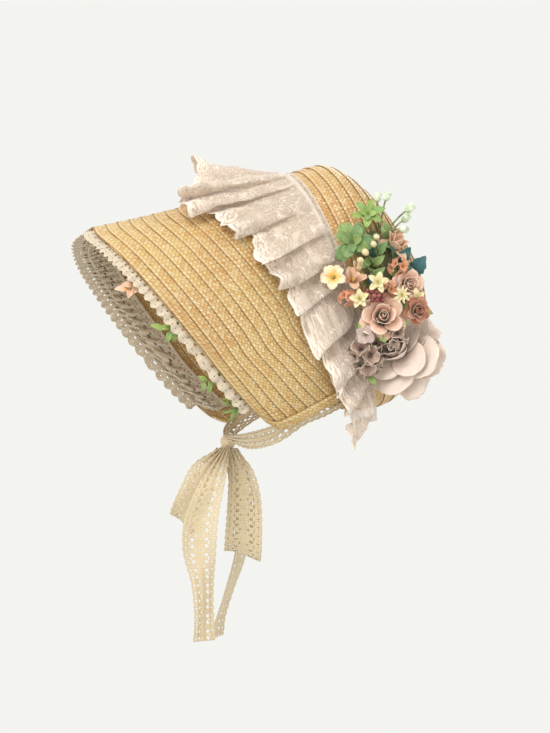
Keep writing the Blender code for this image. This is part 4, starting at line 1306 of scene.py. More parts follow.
# Buds: name, place, wire's foot on the pad and half sizes.
Bud = namedtuple("Bud", "name along up out foot_along foot_up foot_out half_width half_height")
CUP_BUDS = (
    Bud("cup_bud_1", 72, 76, 74, 62, 52, 70, 3.9, 4.6),
    Bud("cup_bud_2", 64, 76, 62, 61, 56, 66, 3.5, 4.3),
    Bud("cup_bud_3", 94, 65, 70, 70, 42, 74, 4.1, 4.9),
    Bud("cup_bud_4", 91, 56, 60, 73, 38, 72, 3.8, 4.6),
    Bud("cup_bud_5", 87, 44, 84, 68, 48, 68, 3.6, 4.4),
)
CREAM_BUDS = (
    Bud("cream_bud_1", 61, 36, 90, 62, 22, 78, 3.4, 4.0),
    Bud("cream_bud_2", 50, 21, 104, 66, 2, 84, 3.4, 4.3),
    Bud("cream_bud_3", 58, 29, 98, 68, 4, 84, 3.0, 3.7),
    Bud("cream_bud_4", 45, 13, 108, 64, -4, 88, 3.2, 4.0),
)
# Small leaves that show between the low flowers: root and tip.
SMALL_LEAVES = (
    (62, -57, 107, 69, -64, 113), (54, -96, 92, 61, -104, 97), (84, -42, 100, 90, -48, 108),
    (47, -44, 104, 43, -51, 110),
)
BERRIES = (
    (51, -16, 115), (55.5, -16, 117), (60, -16.5, 118), (64.5, -16.5, 117), (53, -20.5, 116),
    (57.5, -20.5, 118), (62, -21, 118), (66.5, -20.5, 116), (56, -24.5, 116), (60.5, -24.5, 117),
    (65, -24.5, 115), (49, -20, 113),
)
PEONY_MIDDLE = (85, -73, 79)
PEONY_FACING = (-0.50, 0.30, 0.81)
PEONY_SIZE = 0.94
BERRIES_MIDDLE = (58, -20, 113)
BERRY_RADIUS = 2.5 * MM


def facing_of(face_along, face_up, face_out=1.0):
    return unit(OUT * face_out + ALONG * face_along + UP * face_up)


def frame_of(facing):
    """Two directions square to the facing one."""
    first = unit(np.cross(UP, facing))
    return first, np.cross(facing, first)


def turned(first, second, turn):
    return first * math.cos(turn) + second * math.sin(turn)


def petal(row, size, turn, facing, middle, draw, cells):
    """One cloth petal: it leaves the middle, opens along its length and ruffles at its edge."""
    first, second = frame_of(facing)
    outward_way = turned(first, second, turn)
    sideways = np.cross(facing, outward_way)
    along = np.linspace(0, 1, cells[1])
    u, v = np.meshgrid(np.linspace(-1, 1, cells[0]), along)
    length = row.length * size * draw.uniform(0.92, 1.08) * MM
    half = row.width * size * draw.uniform(0.92, 1.08) / 2 * MM
    start = math.radians(row.start + draw.uniform(-5, 5))
    end = math.radians(row.end + draw.uniform(-8, 8))
    tilt = start + (end - start) * along ** 1.3
    step = length / (cells[1] - 1)
    scale = size * MM
    reach = row.root * scale + np.concatenate(((0,), np.cumsum(np.cos(tilt[1:]) * step)))
    rise = np.concatenate(((0,), np.cumsum(np.sin(tilt[1:]) * step)))
    rounded = np.sin(math.pi / 2 * np.clip(v * 1.5 + 0.25, 0, 1)) * (1 - 0.12 * v ** 4)
    pointed = np.sin(math.pi * np.clip(v * 0.96 + 0.04, 0, 1)) ** 0.75 + 0.02
    outline = rounded * (1 - row.point) + pointed * row.point
    drop = 0.26 * (1 - row.point) * np.abs(u) ** 2.6 * v ** 2.5 * length
    fold = draw.uniform(0, ANY_TURN)
    ruffle = row.ruffle * scale * v ** 2.2 * (
        np.sin(3.6 * u + fold) + 0.6 * np.sin(8.5 * u + 2.1 * fold) * np.abs(u) ** 0.5)
    cup = row.cup * scale * (u ** 2 - 0.3) * (0.35 + 0.65 * np.sin(math.pi * np.clip(v, 0, 0.92)))
    lift = cup + ruffle
    if row.width > 20:
        ragged = np.sin(17 * u + fold) + 0.7 * np.sin(29 * u + 2.3 * fold)
        ragged = ragged + 0.8 * np.sin(7 * u + 1.7 * fold)
        drop = drop + 0.11 * row.ruffle * scale * ragged * v ** 5
    radial = reach[:, None] - drop * np.cos(tilt)[:, None] - np.sin(tilt)[:, None] * lift
    axial = rise[:, None] - drop * np.sin(tilt)[:, None] + np.cos(tilt)[:, None] * lift
    x = u * half * outline
    if row.wrap:
        bend = 1.7 * np.tanh(x / np.maximum(radial, 2.0 * MM) / 1.7)
        radial = np.maximum(radial + 0.09 * x, 0.4 * MM)
        x = radial * np.sin(bend)
        radial = radial * np.cos(bend)
    points = middle + radial[..., None] * outward_way + axial[..., None] * facing
    return points + x[..., None] * sideways, u, v


class StrawSkin:
    """The straw's outside on the flowers' side, which petals rest on and don't pass through."""

    def __init__(self):
        depth, side = np.meshgrid(np.linspace(0, 1, 70), np.linspace(0, 1, 140))
        around = np.radians(178) * side
        near_brim = brim_points(depth, side), brim_normals(depth, side)
        near_crown = crown_points(depth, around), crown_normals(depth, around)
        self.places = np.concatenate((near_brim[0].reshape(-1, 3), near_crown[0].reshape(-1, 3)))
        self.ways = np.concatenate((near_brim[1].reshape(-1, 3), near_crown[1].reshape(-1, 3)))
        self.tree = KDTree(len(self.places))
        for index, place in enumerate(self.places):
            self.tree.insert(place, index)
        self.tree.balance()

    def clear(self, points):
        """The points, with those under the straw's skin lifted just off it."""
        nearest = np.array([self.tree.find(point)[1] for point in points])
        ways = self.ways[nearest]
        height = np.sum((points - self.places[nearest]) * ways, axis=-1)
        return points + ways * np.maximum(0, PETAL_GAP - height)[:, None]


class PetalCloth:
    """Petals gathered into one mesh, each with its own number in its UV map."""

    skin = None

    def __init__(self, name):
        self.name = name
        self.points = []
        self.faces = []
        self.uv = []
        self.count = 0
        self.petals = 0

    def add(self, points, u, v):
        rows, columns = u.shape
        self.faces += grid_faces(rows, columns, self.count).tolist()
        self.points.append(points.reshape(-1, 3))
        share = np.stack((0.02 + 0.96 * (u * 0.5 + 0.5) + self.petals, v), -1)
        self.uv.append(share.reshape(-1, 2))
        self.count += rows * columns
        self.petals += 1

    def add_rows(self, rows, size, facing, middle, draw, cells):
        for index, row in enumerate(rows):
            offset = draw.uniform(0, ANY_TURN)
            for k in range(row.count):
                turn = offset + 2 * math.pi * k / row.count + draw.uniform(-0.12, 0.12)
                rising = middle + facing * (0.12 * size * (index + (k % 2) * 0.6)) * MM
                self.add(*petal(row, size, turn, facing, rising, draw, cells))

    def finish(self, paints, key, replaces, thickness=CLOTH, outside=True):
        points = np.concatenate(self.points)
        if outside:
            PetalCloth.skin = PetalCloth.skin or StrawSkin()
            points = PetalCloth.skin.clear(points)
        return soft_sheet(self.name, points, self.faces, thickness, paints.get(key),
                          replaces, np.concatenate(self.uv))


def petal_surface(name, colour, edge_light=0.3, root_dark=0.55, veins=0.5, root=None, root_reach=0.42):
    """Dyed cloth petal: darker at the root, a painted shade unless it has a root colour of its own; paler
    at the edge, partly dye and partly a painted highlight; with fine veins and mottling.
    """
    surface = Surface(name, Roughness=0.82, Sheen_Weight=0.35, Sheen_Roughness=0.4,
                      Specular_IOR_Level=0.25)
    u, v = surface.parts(surface.place())
    own = u.floor()
    across = u - own
    tone = surface.chance(own * 1.7, own * 0.3)
    mottle = surface.noise(surface.join(u * 2.0, v * 2.0), 3.0, 4.0)
    vein = surface.noise(surface.join(u * 22.0, v * 1.4), 2.0, 3.0)
    edge = surface.fit(abs(across - 0.5) * 2.0, 0.72, 1.0).larger(surface.fit(v, 0.82, 1.0))
    pale = tuple(c + (cream - c) * 0.6 for c, cream in zip(colour, (0.93, 0.79, 0.64)))
    # The root's colour: a darker copy of the petal, painted shade deep in the flower, unless the petal
    # has a root colour of its own.
    deep = root or shade(colour, 1 - root_dark)
    base = surface.coat(
        colour,
        (surface.fit(tone, 0.0, 1.0) * 0.4, pale),
        (surface.fit(mottle, 0.5, 0.75) * 0.5, shade(colour, 0.72)),
        (surface.fit(vein, 0.52, 0.68) * veins * 0.5, shade(colour, 0.6)),
        # The rim: partly paler dye, partly a painted highlight.
        (edge * edge_light, pale),
        # Towards the root: painted shade, except where the petal has a root colour of its own.
        (surface.fit(v, root_reach, 0.0), deep),
    )
    height = vein * 0.5 + mottle * 0.5
    return surface.drive(Base_Color=base, Normal=surface.bump(height, 0.5, 0.0008))


def leaf_surface(name, colour):
    """Moulded leaf: a pale midrib, side veins and a satin face."""
    surface = Surface(name, Specular_IOR_Level=0.4)
    u, v = surface.parts(surface.place())
    own = u.floor()
    across = u - own - 0.5
    rib = surface.fit(abs(across), 0.035, 0.0)
    side_veins = ((v + abs(across) * -0.7) * 44.0).sine()
    veins = surface.fit(side_veins, 0.72, 1.0)
    mottle = surface.noise(surface.join(u * 2.0, v * 2.0), 3.5, 3.0)
    tone = surface.chance(own * 2.3, own * 0.7)
    pale = tuple(min(1.0, c * 1.6 + 0.06) for c in colour)
    deep = (colour[0] * 0.45, colour[1] * 0.72, colour[2] * 1.25)
    base = surface.coat(
        colour,
        (tone * 0.45, pale),
        (surface.chance(own * 0.9, own * 3.1) * 0.75, deep),
        (surface.fit(mottle, 0.45, 0.7) * 0.5, shade(colour, 0.6)),
        (veins * 0.25, pale),
        (rib * 0.6, pale),
        (surface.fit(abs(across), 0.40, 0.5) * 0.5, pale),
    )
    rough = surface.fit(mottle, 0.3, 0.7, 0.42, 0.62)
    height = rib * 0.8 + veins * 0.4 + mottle * 0.2
    return surface.drive(Base_Color=base, Roughness=rough, Normal=surface.bump(height, 0.6, 0.0007))


def bead_surface(name, colour, speck, roughness):
    """Waxed bud or berry: mottled, with a slightly uneven gloss."""
    surface = Surface(name, Specular_IOR_Level=0.45)
    place = surface.place("Object")
    blotch = surface.noise(place, 260.0, 3.0)
    fine = surface.noise(place, 900.0, 2.0)
    base = surface.mix(surface.fit(blotch, 0.42, 0.66), colour, speck)
    rough = surface.fit(fine, 0.3, 0.7, roughness, roughness + 0.22)
    return surface.drive(Base_Color=base, Roughness=rough, Normal=surface.bump(blotch, 0.35, 0.0006))


# How the petals' looks depart from the plain petal's.
# The pale rim is partly dye and partly a painted highlight; the darkened root is painted shade.
PETAL_LOOKS = {
    "mauve": {"edge_light": 0.35, "root_dark": 0.4, "veins": 0.2},
    "deep_mauve": {"edge_light": 0.8, "root_dark": 0.8},
    "beige_pink": {"edge_light": 0.85, "root_dark": 0.62, "veins": 0.3},
    "cream": {"edge_light": 0.45, "root": (0.62, 0.58, 0.10)},
    "peach": {"edge_light": 0.6, "root": (0.72, 0.34, 0.06)},
    "plumeria_cream": {"edge_light": 0.5, "root": (0.85, 0.44, 0.01), "root_reach": 0.62},
    "coral": {"edge_light": 0.6},
    "rust": {"edge_light": 0.22, "root_dark": 0.7},
    "mauve_brown": {"edge_light": 1.0, "root_dark": 0.75, "veins": 0.6},
}


class Paints:
    """The flowers' materials, made once each, and the start of each flower's random draws."""

    def __init__(self, context):
        self.settings = context.scene.bonnet_flowers
        self.made = {}

    def get(self, key):
        if key not in self.made:
            colour = tuple(getattr(self.settings, key))
            if key.endswith("leaf"):
                self.made[key] = leaf_surface(key + "_leaf", colour)
            else:
                self.made[key] = petal_surface(key + "_petal", colour, **PETAL_LOOKS.get(key, {}))
        return self.made[key]

    def pollen(self):
        if "pollen" not in self.made:
            self.made["pollen"] = bead_surface("pollen", (0.66, 0.52, 0.06), (0.46, 0.50, 0.10), 0.6)
        return self.made["pollen"]

    def draw_for(self, name):
        letters = sum(ord(letter) * (k + 1) for k, letter in enumerate(name))
        return random.Random(self.settings.seed * 1000 + letters)


class BONNET_OT_peony(bpy.types.Operator):
    """The large peony behind: broad ruffled petals round a tight heart, facing back and down"""

    bl_idname = "bonnet.peony"
    bl_label = "Peony"

    def execute(self, context):
        paints = Paints(context)
        middle = seen(*PEONY_MIDDLE)
        facing = facing_of(*PEONY_FACING)
        for name, forward, key, rows in PEONY_ROWS:
            cloth = PetalCloth(name + "_petals")
            draw = paints.draw_for(name)
            cloth.add_rows(rows, PEONY_SIZE, facing, middle + facing * forward * MM, draw, (17, 20))
            cloth.finish(paints, key, [name])
        return {"FINISHED"}


class BONNET_OT_blossoms(bpy.types.Operator):
    """Roses, tulip, plumeria, star blossoms and leaf rosettes, each from rows of cloth petals"""

    bl_idname = "bonnet.blossoms"
    bl_label = "Blossoms"

    def execute(self, context):
        paints = Paints(context)
        for bloom in BLOOMS:
            cloth = PetalCloth(bloom.name + "_petals")
            draw = paints.draw_for(bloom.name)
            facing = facing_of(bloom.face_along, bloom.face_up)
            middle = seen(bloom.along, bloom.up, bloom.out)
            cells = (13, 15) if bloom.rows is ROSE else (11, 12)
            cloth.add_rows(bloom.rows, bloom.size, facing, middle, draw, cells)
            cloth.finish(paints, bloom.paint, [bloom.name], THIN_CLOTH)
            if bloom.rows in (STAR, SPIKES, PLUMERIA, PEACH_BLOSSOM):
                self.add_stamens(paints, bloom, middle, facing, draw)
        return {"FINISHED"}

    def add_stamens(self, paints, bloom, middle, facing, draw):
        """A tuft of fine stamens with pollen heads."""
        first, second = frame_of(facing)
        points = []
        faces = []
        for _ in range(12):
            turn = draw.uniform(0, ANY_TURN)
            spread = draw.uniform(0.1, 0.55)
            way = unit(facing + turned(first, second, turn) * spread)
            length = draw.uniform(2.6, 4.4) * bloom.size * MM
            path = np.array([middle, middle + way * length * 0.6, middle + way * length])
            add_tube(points, faces, path, np.array((0.22, 0.2, 0.5)) * MM, 5)
        new_piece(bloom.name + "_stamens", np.array(points), faces, paints.pollen())


def add_tube(points, faces, path, radii, sides):
    """A closed tube along a path, with rounded ends, added to the lists."""
    ways = unit(np.gradient(path, axis=0))
    start = len(points)
    for place, way, radius in zip(path, ways, radii):
        first, second = frame_of(way) if abs(way[2]) < 0.95 else (ALONG, np.cross(way, ALONG))
        for k in range(sides):
            points.append(place + turned(first, second, 2 * math.pi * k / sides) * radius)
    faces += grid_faces(len(path), sides, start, True).tolist()
    points.append(path[0] - ways[0] * radii[0] * 0.6)
    points.append(path[-1] + ways[-1] * radii[-1] * 0.6)
    end = start + len(path) * sides
    last = end - sides
    for k in range(sides):
        after = (k + 1) % sides
        faces.append((start + k, start + after, end))
        faces.append((last + after, last + k, end + 1))


class BONNET_OT_clusters(bpy.types.Operator):
    """Hydrangea heads and coral blossoms, each a dome of small florets"""

    bl_idname = "bonnet.clusters"
    bl_label = "Floret clusters"

    def execute(self, context):
        paints = Paints(context)
        for cluster in CLUSTERS:
            draw = paints.draw_for(cluster.name)
            cloth = PetalCloth(cluster.name + "_florets")
            middle = seen(cluster.along, cluster.up, cluster.out)
            dome = cluster.dome * MM
            for k in range(cluster.count):
                lean = math.acos(1 - 0.95 * (k + 0.5) / cluster.count)
                way = unit(turned(OUT, turned(ALONG, UP, GOLDEN_ANGLE * k), lean))
                place = middle + way * dome * draw.uniform(0.85, 1.05) - OUT * 0.45 * dome
                facing = unit(way + np.array([draw.uniform(-0.3, 0.3) for _ in range(3)]))
                size = cluster.size * draw.uniform(0.85, 1.2)
                cloth.add_rows(cluster.rows, size, facing, place, draw, (8, 9))
            cloth.finish(paints, cluster.paint, [cluster.name], THIN_CLOTH)
        return {"FINISHED"}


# Cells of a leaf across and along, and how far a wire runs straight under its flower.
SMALL_LEAF = (7, 9)
LARGE_LEAF = (13, 18)
STEM_NECK = 9 * MM


def leaf_points(root, tip, width, side, lobes=0, cells=SMALL_LEAF):
    """A leaf from root to tip with a folded midrib; lobes notch its edges."""
    u, v = np.meshgrid(np.linspace(-1, 1, cells[0]), np.linspace(0, 1, cells[1]))
    way = tip - root
    length = np.linalg.norm(way)
    normal = unit(np.cross(side, way))
    outline = np.sin(math.pi * np.clip(v, 0.02, 0.985) ** 0.8) ** 0.8
    if lobes:
        outline = outline * (0.78 + 0.22 * np.abs(np.cos(math.pi * lobes * v)))
    else:
        outline = outline * (1 - 0.05 * (1 - np.abs(np.sin(math.pi * 7 * v))))
    x = u * width / 2 * outline
    fold = np.abs(u) * width * 0.16 * outline
    bend = 0.12 * length * np.sin(math.pi * v)
    wave = 0.03 * length * np.sin(7 * v + 3 * u) * np.abs(u)
    lift = fold + bend + wave
    points = root + v[..., None] * way + x[..., None] * side + lift[..., None] * normal
    return points, u, v


class BONNET_OT_foliage(bpy.types.Operator):
    """Single leaves, and the small leaves that fill the spray over its felt pad"""

    bl_idname = "bonnet.foliage"
    bl_label = "Foliage"

    def execute(self, context):
        paints = Paints(context)
        for leaf in LEAVES:
            root, tip = seen(*leaf[1:4]), seen(*leaf[4:7])
            side = unit(np.cross(tip - root, OUT))
            cloth = PetalCloth(leaf.name + "_blade")
            cloth.add(*leaf_points(root, tip, leaf.width * MM, side, leaf.lobes, LARGE_LEAF))
            cloth.finish(paints, leaf.paint, [leaf.name], 0.4 * MM)
        self.make_filler(paints)
        self.make_pad()
        self.make_stems(paints)
        return {"FINISHED"}

    def make_filler(self, paints):
        """Small leaves of three greens laid over the pad."""
        draw = paints.draw_for("filler")
        for key, count in (("green_leaf", 26), ("light_leaf", 12), ("teal_leaf", 12)):
            cloth = PetalCloth("filler_leaves_" + key.split("_")[0])
            for _ in range(count):
                depth = draw.uniform(0.10, 0.40)
                angle = math.radians(draw.uniform(66, 120))
                normal = crown_normals(depth, angle)
                root = crown_points(depth, angle) + normal * draw.uniform(4.5, 9) * MM
                flat = turned(*frame_of(normal), draw.uniform(0, ANY_TURN))
                way = unit(flat + normal * draw.uniform(0.15, 0.8))
                length = draw.uniform(11, 18) * MM
                width = length * draw.uniform(0.45, 0.62)
                cloth.add(*leaf_points(root, root + way * length, width, unit(np.cross(way, normal))))
            if key == "light_leaf":
                for leaf in SMALL_LEAVES:
                    root, tip = seen(*leaf[:3]), seen(*leaf[3:])
                    cloth.add(*leaf_points(root, tip, 5.5 * MM, unit(np.cross(tip - root, OUT))))
            cloth.finish(paints, key, [])

    def make_pad(self):
        """The felt pad that carries the spray, cut to an oval."""
        def oval(run, wide):
            wobble = 0.06 * np.sin(9 * run + 3) + 0.05 * np.sin(14 * wide)
            return 1 + wobble - (((run - 0.25) / 0.14) ** 2 + ((wide - 1.60) / 0.46) ** 2)

        felt, faces = cut_lace(oval, np.linspace(0.07, 0.49, 40), np.linspace(0.92, 2.25, 60))
        points = crown_points(felt[:, 0], felt[:, 1]) + crown_normals(felt[:, 0], felt[:, 1]) * 3.0 * MM
        surface = Surface("moss_felt", Roughness=0.95, Sheen_Weight=0.3)
        fuzz = surface.noise(surface.place("Object"), 700.0, 4.0)
        broad = surface.noise(surface.place("Object"), 60.0, 2.0)
        base = surface.mix(fuzz, (0.10, 0.12, 0.04), (0.20, 0.19, 0.09))
        base = surface.mix(broad * 0.4, base, (0.13, 0.09, 0.05))
        material = surface.drive(Base_Color=base, Normal=surface.bump(fuzz, 0.9, 0.001))
        soft_sheet("felt_pad", points, faces, 2.0 * MM, material, ["spray_base"], felt)

    def make_stems(self, paints):
        """Wire stems of the buds and flowers, wrapped in tape, from the felt pad to each head."""
        points = []
        faces = []
        for bud in CUP_BUDS + CREAM_BUDS:
            head = seen(bud.along, bud.up, bud.out)
            foot = pad_foot(bud.foot_along, bud.foot_up)
            bend = foot + (head - foot) * 0.55 + UP * 3.5 * MM - ALONG * 2.0 * MM
            self.add_stem(points, faces, foot, bend, head, np.full(12, 0.85))
        heads = [(seen(bloom.along, bloom.up, bloom.out), facing_of(bloom.face_along, bloom.face_up))
                 for bloom in BLOOMS]
        heads += [(seen(head.along, head.up, head.out - 0.5 * head.dome), OUT) for head in CLUSTERS]
        heads += [(seen(*BERRIES_MIDDLE), OUT), (seen(*PEONY_MIDDLE), facing_of(*PEONY_FACING))]
        flared = np.array((0.9,) * 7 + (1.0, 1.2, 1.7, 2.4, 1.5))
        for head, facing in heads:
            along, up = float(head @ ALONG) / MM, float(head @ UP) / MM
            foot = pad_foot(along * 0.6 + 26, up * 0.7 - 4)
            self.add_stem(points, faces, foot, head - facing * STEM_NECK, head, flared)
        material = bead_surface("taped_stem", paints.settings.stem, (0.34, 0.34, 0.14), 0.55)
        new_piece("wire_stems", np.array(points), faces, material)

    def add_stem(self, points, faces, foot, bend, head, radii):
        share = np.linspace(0, 1, 12)[:, None]
        path = (1 - share) ** 2 * foot + 2 * share * (1 - share) * bend + share ** 2 * head
        add_tube(points, faces, path, radii * MM, 8)


def pad_foot(along, up):
    """The place on the felt pad nearest to one seen from the side."""
    depth, angle = np.meshgrid(np.linspace(0.13, 0.37, 20), np.linspace(1.2, 2.0, 24))
    places = crown_points(depth, angle)
    gap = (places @ ALONG - along * MM) ** 2 + (places @ UP - up * MM) ** 2
    nearest = np.unravel_index(gap.argmin(), gap.shape)
    return places[nearest] + crown_normals(depth[nearest], angle[nearest]) * 2.5 * MM


def start_primitive():
    if bpy.context.object is not None and bpy.context.object.mode != "OBJECT":
        bpy.ops.object.mode_set(mode="OBJECT")
    bpy.ops.object.select_all(action="DESELECT")


def select_above(item, height):
    """In edit mode, selects only the vertices above a height in the item's own mesh."""
    bpy.ops.object.mode_set(mode="EDIT")
    bpy.ops.mesh.select_mode(type="VERT")
    bpy.ops.mesh.select_all(action="DESELECT")
    build = bmesh.from_edit_mesh(item.data)
    for vert in build.verts:
        vert.select = vert.co.z > height
    build.select_flush_mode()
    bmesh.update_edit_mesh(item.data)


def place_item(item, place, facing):
    """Turns a modelled piece to face a way and puts it in place, in its mesh."""
    turn = Vector(facing).to_track_quat("Z", "Y").to_matrix().to_4x4()
    item.data.transform(Matrix.Translation(Vector(place)) @ turn)
    item.matrix_world = Matrix.Identity(4)


def finish_primitive(item, name, material, replaces):
    item.name = name
    item.data.name = name
    item.data.materials.clear()
    item.data.materials.append(material)
    item.data.polygons.foreach_set("use_smooth", [True] * len(item.data.polygons))
    settle(item, replaces)


def add_ball(radius, segments, rings):
    start_primitive()
    bpy.ops.mesh.primitive_uv_sphere_add(segments=segments, ring_count=rings, radius=radius,
                                         location=(0, 0, 0))
    return bpy.context.object


def scale_above(item, height, across, upwards, centre):
    """Scales the part of an item above a height, about a height on its axis."""
    select_above(item, height)
    bpy.ops.transform.resize(value=(across, across, upwards), center_override=(0, 0, centre))


def finish_bud(item, bud, stretch, kind, material):
    """Smooths a shaped bud, gives it its height and sets it on the end of its wire."""
    bpy.ops.object.mode_set(mode="OBJECT")
    apply_modifier(item, "SUBSURF", levels=1, render_levels=1)
    item.data.transform(Matrix.Diagonal((1, 1, stretch, 1)))
    facing = seen(bud.along - bud.foot_along, bud.up - bud.foot_up, bud.out - bud.foot_out)
    place_item(item, seen(bud.along, bud.up, bud.out), unit(facing))
    finish_primitive(item, bud.name + kind, material, [bud.name])


class BONNET_OT_buds(bpy.types.Operator):
    """Pale cup buds, cream buds and the bunch of berries"""

    bl_idname = "bonnet.buds"
    bl_label = "Buds and berries"

    def execute(self, context):
        settings = context.scene.bonnet_flowers
        cup = bead_surface("cup_bud_wax", settings.pale_bud, (0.42, 0.56, 0.30), 0.45)
        cream = bead_surface("cream_bud_wax", settings.cream_bud, (0.62, 0.44, 0.20), 0.45)
        plum = bead_surface("berry_wax", settings.plum, (0.34, 0.12, 0.09), 0.28)
        for bud in CUP_BUDS:
            self.make_cup(bud, cup)
        for bud in CREAM_BUDS:
            self.make_round(bud, cream)
        self.make_berries(plum)
        return {"FINISHED"}

    def make_cup(self, bud, material):
        """An open cup: a bowl that flares to a thin rim round a small button."""
        width = bud.half_width * MM
        item = add_ball(width, 20, 14)
        scale_above(item, -0.2 * width, 1.0, 1.25, 0)
        scale_above(item, 0.75 * width, 1.35, 0.35, width)
        bpy.ops.transform.translate(value=(0, 0, 0.1 * width))
        select_above(item, 1.04 * width)
        bpy.ops.mesh.inset(thickness=0.06 * width)
        bpy.ops.transform.translate(value=(0, 0, -0.35 * width))
        finish_bud(item, bud, bud.half_height / bud.half_width, "_cup", material)

    def make_round(self, bud, material):
        """A closed bud: a ball drawn up to a soft point."""
        width = bud.half_width * MM
        item = add_ball(width, 18, 12)
        scale_above(item, 0.55 * width, 0.82, 1.3, 0.55 * width)
        scale_above(item, 0.95 * width, 0.6, 1.2, 0.95 * width)
        finish_bud(item, bud, 0.92 * bud.half_height / bud.half_width, "_bead", material)

    def make_berries(self, material):
        """A bunch of berries, each with a small dimple, joined in one piece."""
        balls = []
        for place in BERRIES:
            item = add_ball(BERRY_RADIUS, 16, 12)
            select_above(item, 2.3 * MM)
            bpy.ops.transform.translate(value=(0, 0, -0.6 * MM))
            bpy.ops.object.mode_set(mode="OBJECT")
            place_item(item, seen(*place), unit(seen(place[0] - 57, place[1] + 17, 6)))
            balls.append(item)
        start_primitive()
        for item in balls:
            item.select_set(True)
        bpy.context.view_layer.objects.active = balls[0]
        bpy.ops.object.join()
        finish_primitive(bpy.context.object, "berry_bunch", material, ["berries"])


# Sprigs in the brim: side of the arch, leaves from this far inside the edge to this far beyond it,
# how many, their length, width and colour.
Sprig = namedtuple("Sprig", "name side inside beyond count length width paint")
SPRIGS = (
    Sprig("sprig_high", 0.47, 8, 14, 7, 11, 6.5, "peach"),
    Sprig("sprig_middle", 0.66, 6, 12, 7, 13, 5.5, "light_leaf"),
    Sprig("sprig_between", 0.79, 4, 15, 6, 12, 4.6, "light_leaf"),
    Sprig("sprig_low", 0.90, 6, 10, 11, 17, 2.6, "light_leaf"),
)


class BONNET_OT_sprigs(bpy.types.Operator):
    """Small sprigs tucked in the brim's frill"""

    bl_idname = "bonnet.sprigs"
    bl_label = "Brim sprigs"

    def execute(self, context):
        paints = Paints(context)
        for sprig in SPRIGS:
            draw = paints.draw_for(sprig.name)
            cloth = PetalCloth(sprig.name + "_leaves")
            edge = float(brim_length(sprig.side))
            for k in range(sprig.count):
                share = k / (sprig.count - 1)
                distance = edge + (-sprig.inside + (sprig.inside + sprig.beyond) * share) * MM
                inset = -(11.0 + draw.uniform(-1, 2)) * MM
                side = sprig.side + draw.uniform(-3, 3) * MM / ARCH_HALF
                root = brim_offset(side, distance, inset)
                hand = draw.uniform(3, 8) * (1 if k % 2 else -1)
                ahead = brim_offset(side + hand * MM / ARCH_HALF, distance + 7 * MM, inset - 1 * MM)
                way = unit(ahead - root)
                tip = root + way * sprig.length * draw.uniform(0.8, 1.2) * MM
                across = unit(np.cross(way, brim_normals(0.98, side)))
                cloth.add(*leaf_points(root, tip, sprig.width * MM, across))
            replaced = [] if sprig.name == "sprig_between" else [sprig.name]
            cloth.finish(paints, sprig.paint, replaced, outside=False)
        return {"FINISHED"}


# Stage.

# Soft lights: name, place, size and share of the main light's power.
LIGHTS = (
    ("key", (1.1, -1.0, 1.3), 1.0, 1.0),
    ("fill", (1.5, 1.1, 0.4), 1.4, 0.30),
    ("back", (-1.2, 0.9, 1.2), 1.0, 0.45),
    ("front", (0.5, -1.7, -0.1), 0.9, 0.35),
)
GLOW_COLOUR = (1.0, 0.985, 0.96, 1)
CAMERA_AIM = ALONG * -0.035 + UP * -0.0865
FLOOR_SIZE = 12


def add_at(name, data, place, facing):
    """Puts a light or camera in place, looking against the facing direction."""
    item = bpy.data.objects.new(name, data)
    item.location = place
    item.rotation_mode = "QUATERNION"
    item.rotation_quaternion = Vector(facing).to_track_quat("Z", "Y")
    bpy.context.scene.collection.objects.link(item)
    return item


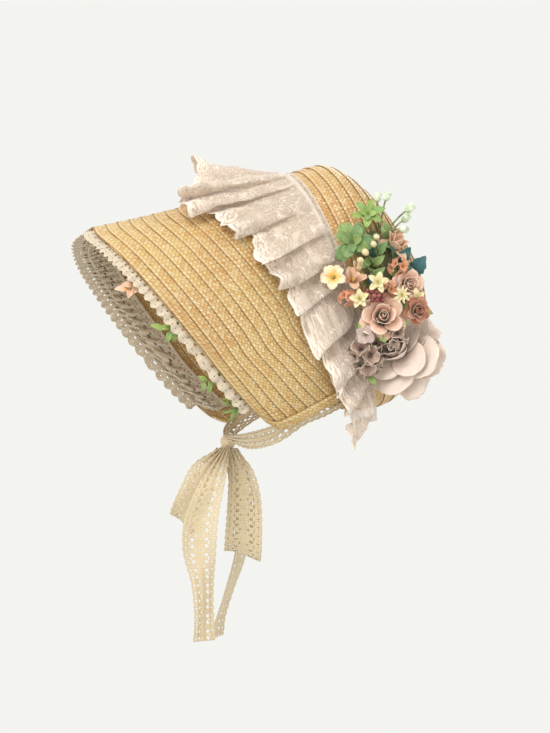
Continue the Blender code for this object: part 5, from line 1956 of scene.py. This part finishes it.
class BONNET_OT_stage(bpy.types.Operator):
    """Plain pale floor and backdrop, soft lights and the camera"""

    bl_idname = "bonnet.stage"
    bl_label = "Stage"

    def execute(self, context):
        settings = context.scene.bonnet_stage
        world = bpy.data.worlds.new("studio")
        world.use_nodes = True
        nodes = world.node_tree.nodes
        links = world.node_tree.links
        backdrop = nodes["Background"]
        backdrop.inputs[0].default_value = paint(settings.backdrop)
        glow = nodes.new("ShaderNodeBackground")
        glow.inputs[0].default_value = GLOW_COLOUR
        glow.inputs[1].default_value = settings.glow
        path = nodes.new("ShaderNodeLightPath")
        chosen = nodes.new("ShaderNodeMixShader")
        links.new(path.outputs["Is Camera Ray"], chosen.inputs[0])
        links.new(glow.outputs[0], chosen.inputs[1])
        links.new(backdrop.outputs[0], chosen.inputs[2])
        links.new(chosen.outputs[0], nodes["World Output"].inputs[0])
        context.scene.world = world
        self.add_floor(settings)
        for name, place, size, share in LIGHTS:
            light = bpy.data.lights.new(name, "AREA")
            light.size = size
            light.energy = settings.light_power * share
            add_at(name, light, place, place)
        self.add_camera(settings)
        context.scene.view_settings.view_transform = "Standard"
        return {"FINISHED"}

    def add_floor(self, settings):
        """A plain floor as far below the hat as when it is worn, as pale as the backdrop."""
        start_primitive()
        bpy.ops.mesh.primitive_plane_add(size=FLOOR_SIZE)
        floor = bpy.context.object
        floor.name = "floor"
        floor.data.transform(Matrix.Translation((0, 0, settings.floor_height)))
        pale = Surface("floor_pale", Roughness=0.9, Base_Color=(0, 0, 0, 1), Specular_IOR_Level=0.0,
                       Emission_Color=paint(settings.backdrop), Emission_Strength=1.0)
        floor.data.materials.append(pale.material)

    def add_camera(self, settings):
        camera = bpy.data.cameras.new("view")
        camera.lens = settings.lens
        camera.sensor_fit = "VERTICAL"
        camera.sensor_height = 36
        place = CAMERA_AIM + OUT * settings.camera_distance
        bpy.context.scene.camera = add_at("view", camera, place, OUT)


# Panel and registration.

SETTINGS = (
    ("bonnet_straw", StrawSettings),
    ("bonnet_lace", LaceSettings),
    ("bonnet_flowers", FlowerSettings),
    ("bonnet_stage", StageSettings),
)
OPERATORS = (
    BONNET_OT_straw_brim,
    BONNET_OT_straw_crown,
    BONNET_OT_neck_braids,
    BONNET_OT_ruffle,
    BONNET_OT_brim_frill,
    BONNET_OT_ties,
    BONNET_OT_peony,
    BONNET_OT_blossoms,
    BONNET_OT_clusters,
    BONNET_OT_foliage,
    BONNET_OT_buds,
    BONNET_OT_sprigs,
    BONNET_OT_stage,
)


class BONNET_PT_pieces(bpy.types.Panel):
    """The bonnet's pieces and their settings"""

    bl_idname = "BONNET_PT_pieces"
    bl_label = "Straw Bonnet"
    bl_space_type = "VIEW_3D"
    bl_region_type = "UI"
    bl_category = "Bonnet"

    def draw(self, context):
        for name, kind in SETTINGS:
            box = self.layout.box()
            group = getattr(context.scene, name)
            for key in kind.__annotations__:
                box.prop(group, key)
        for operator in OPERATORS:
            self.layout.operator(operator.bl_idname)


def register():
    for name, kind in SETTINGS:
        bpy.utils.register_class(kind)
        setattr(bpy.types.Scene, name, PointerProperty(type=kind))
    for operator in OPERATORS:
        bpy.utils.register_class(operator)
    bpy.utils.register_class(BONNET_PT_pieces)


def unregister():
    bpy.utils.unregister_class(BONNET_PT_pieces)
    for operator in reversed(OPERATORS):
        bpy.utils.unregister_class(operator)
    for name, kind in reversed(SETTINGS):
        delattr(bpy.types.Scene, name)
        bpy.utils.unregister_class(kind)


def main():
    register()
    for operator in OPERATORS:
        family, name = operator.bl_idname.split(".")
        getattr(getattr(bpy.ops, family), name)()


if __name__ == "__main__":
    main()
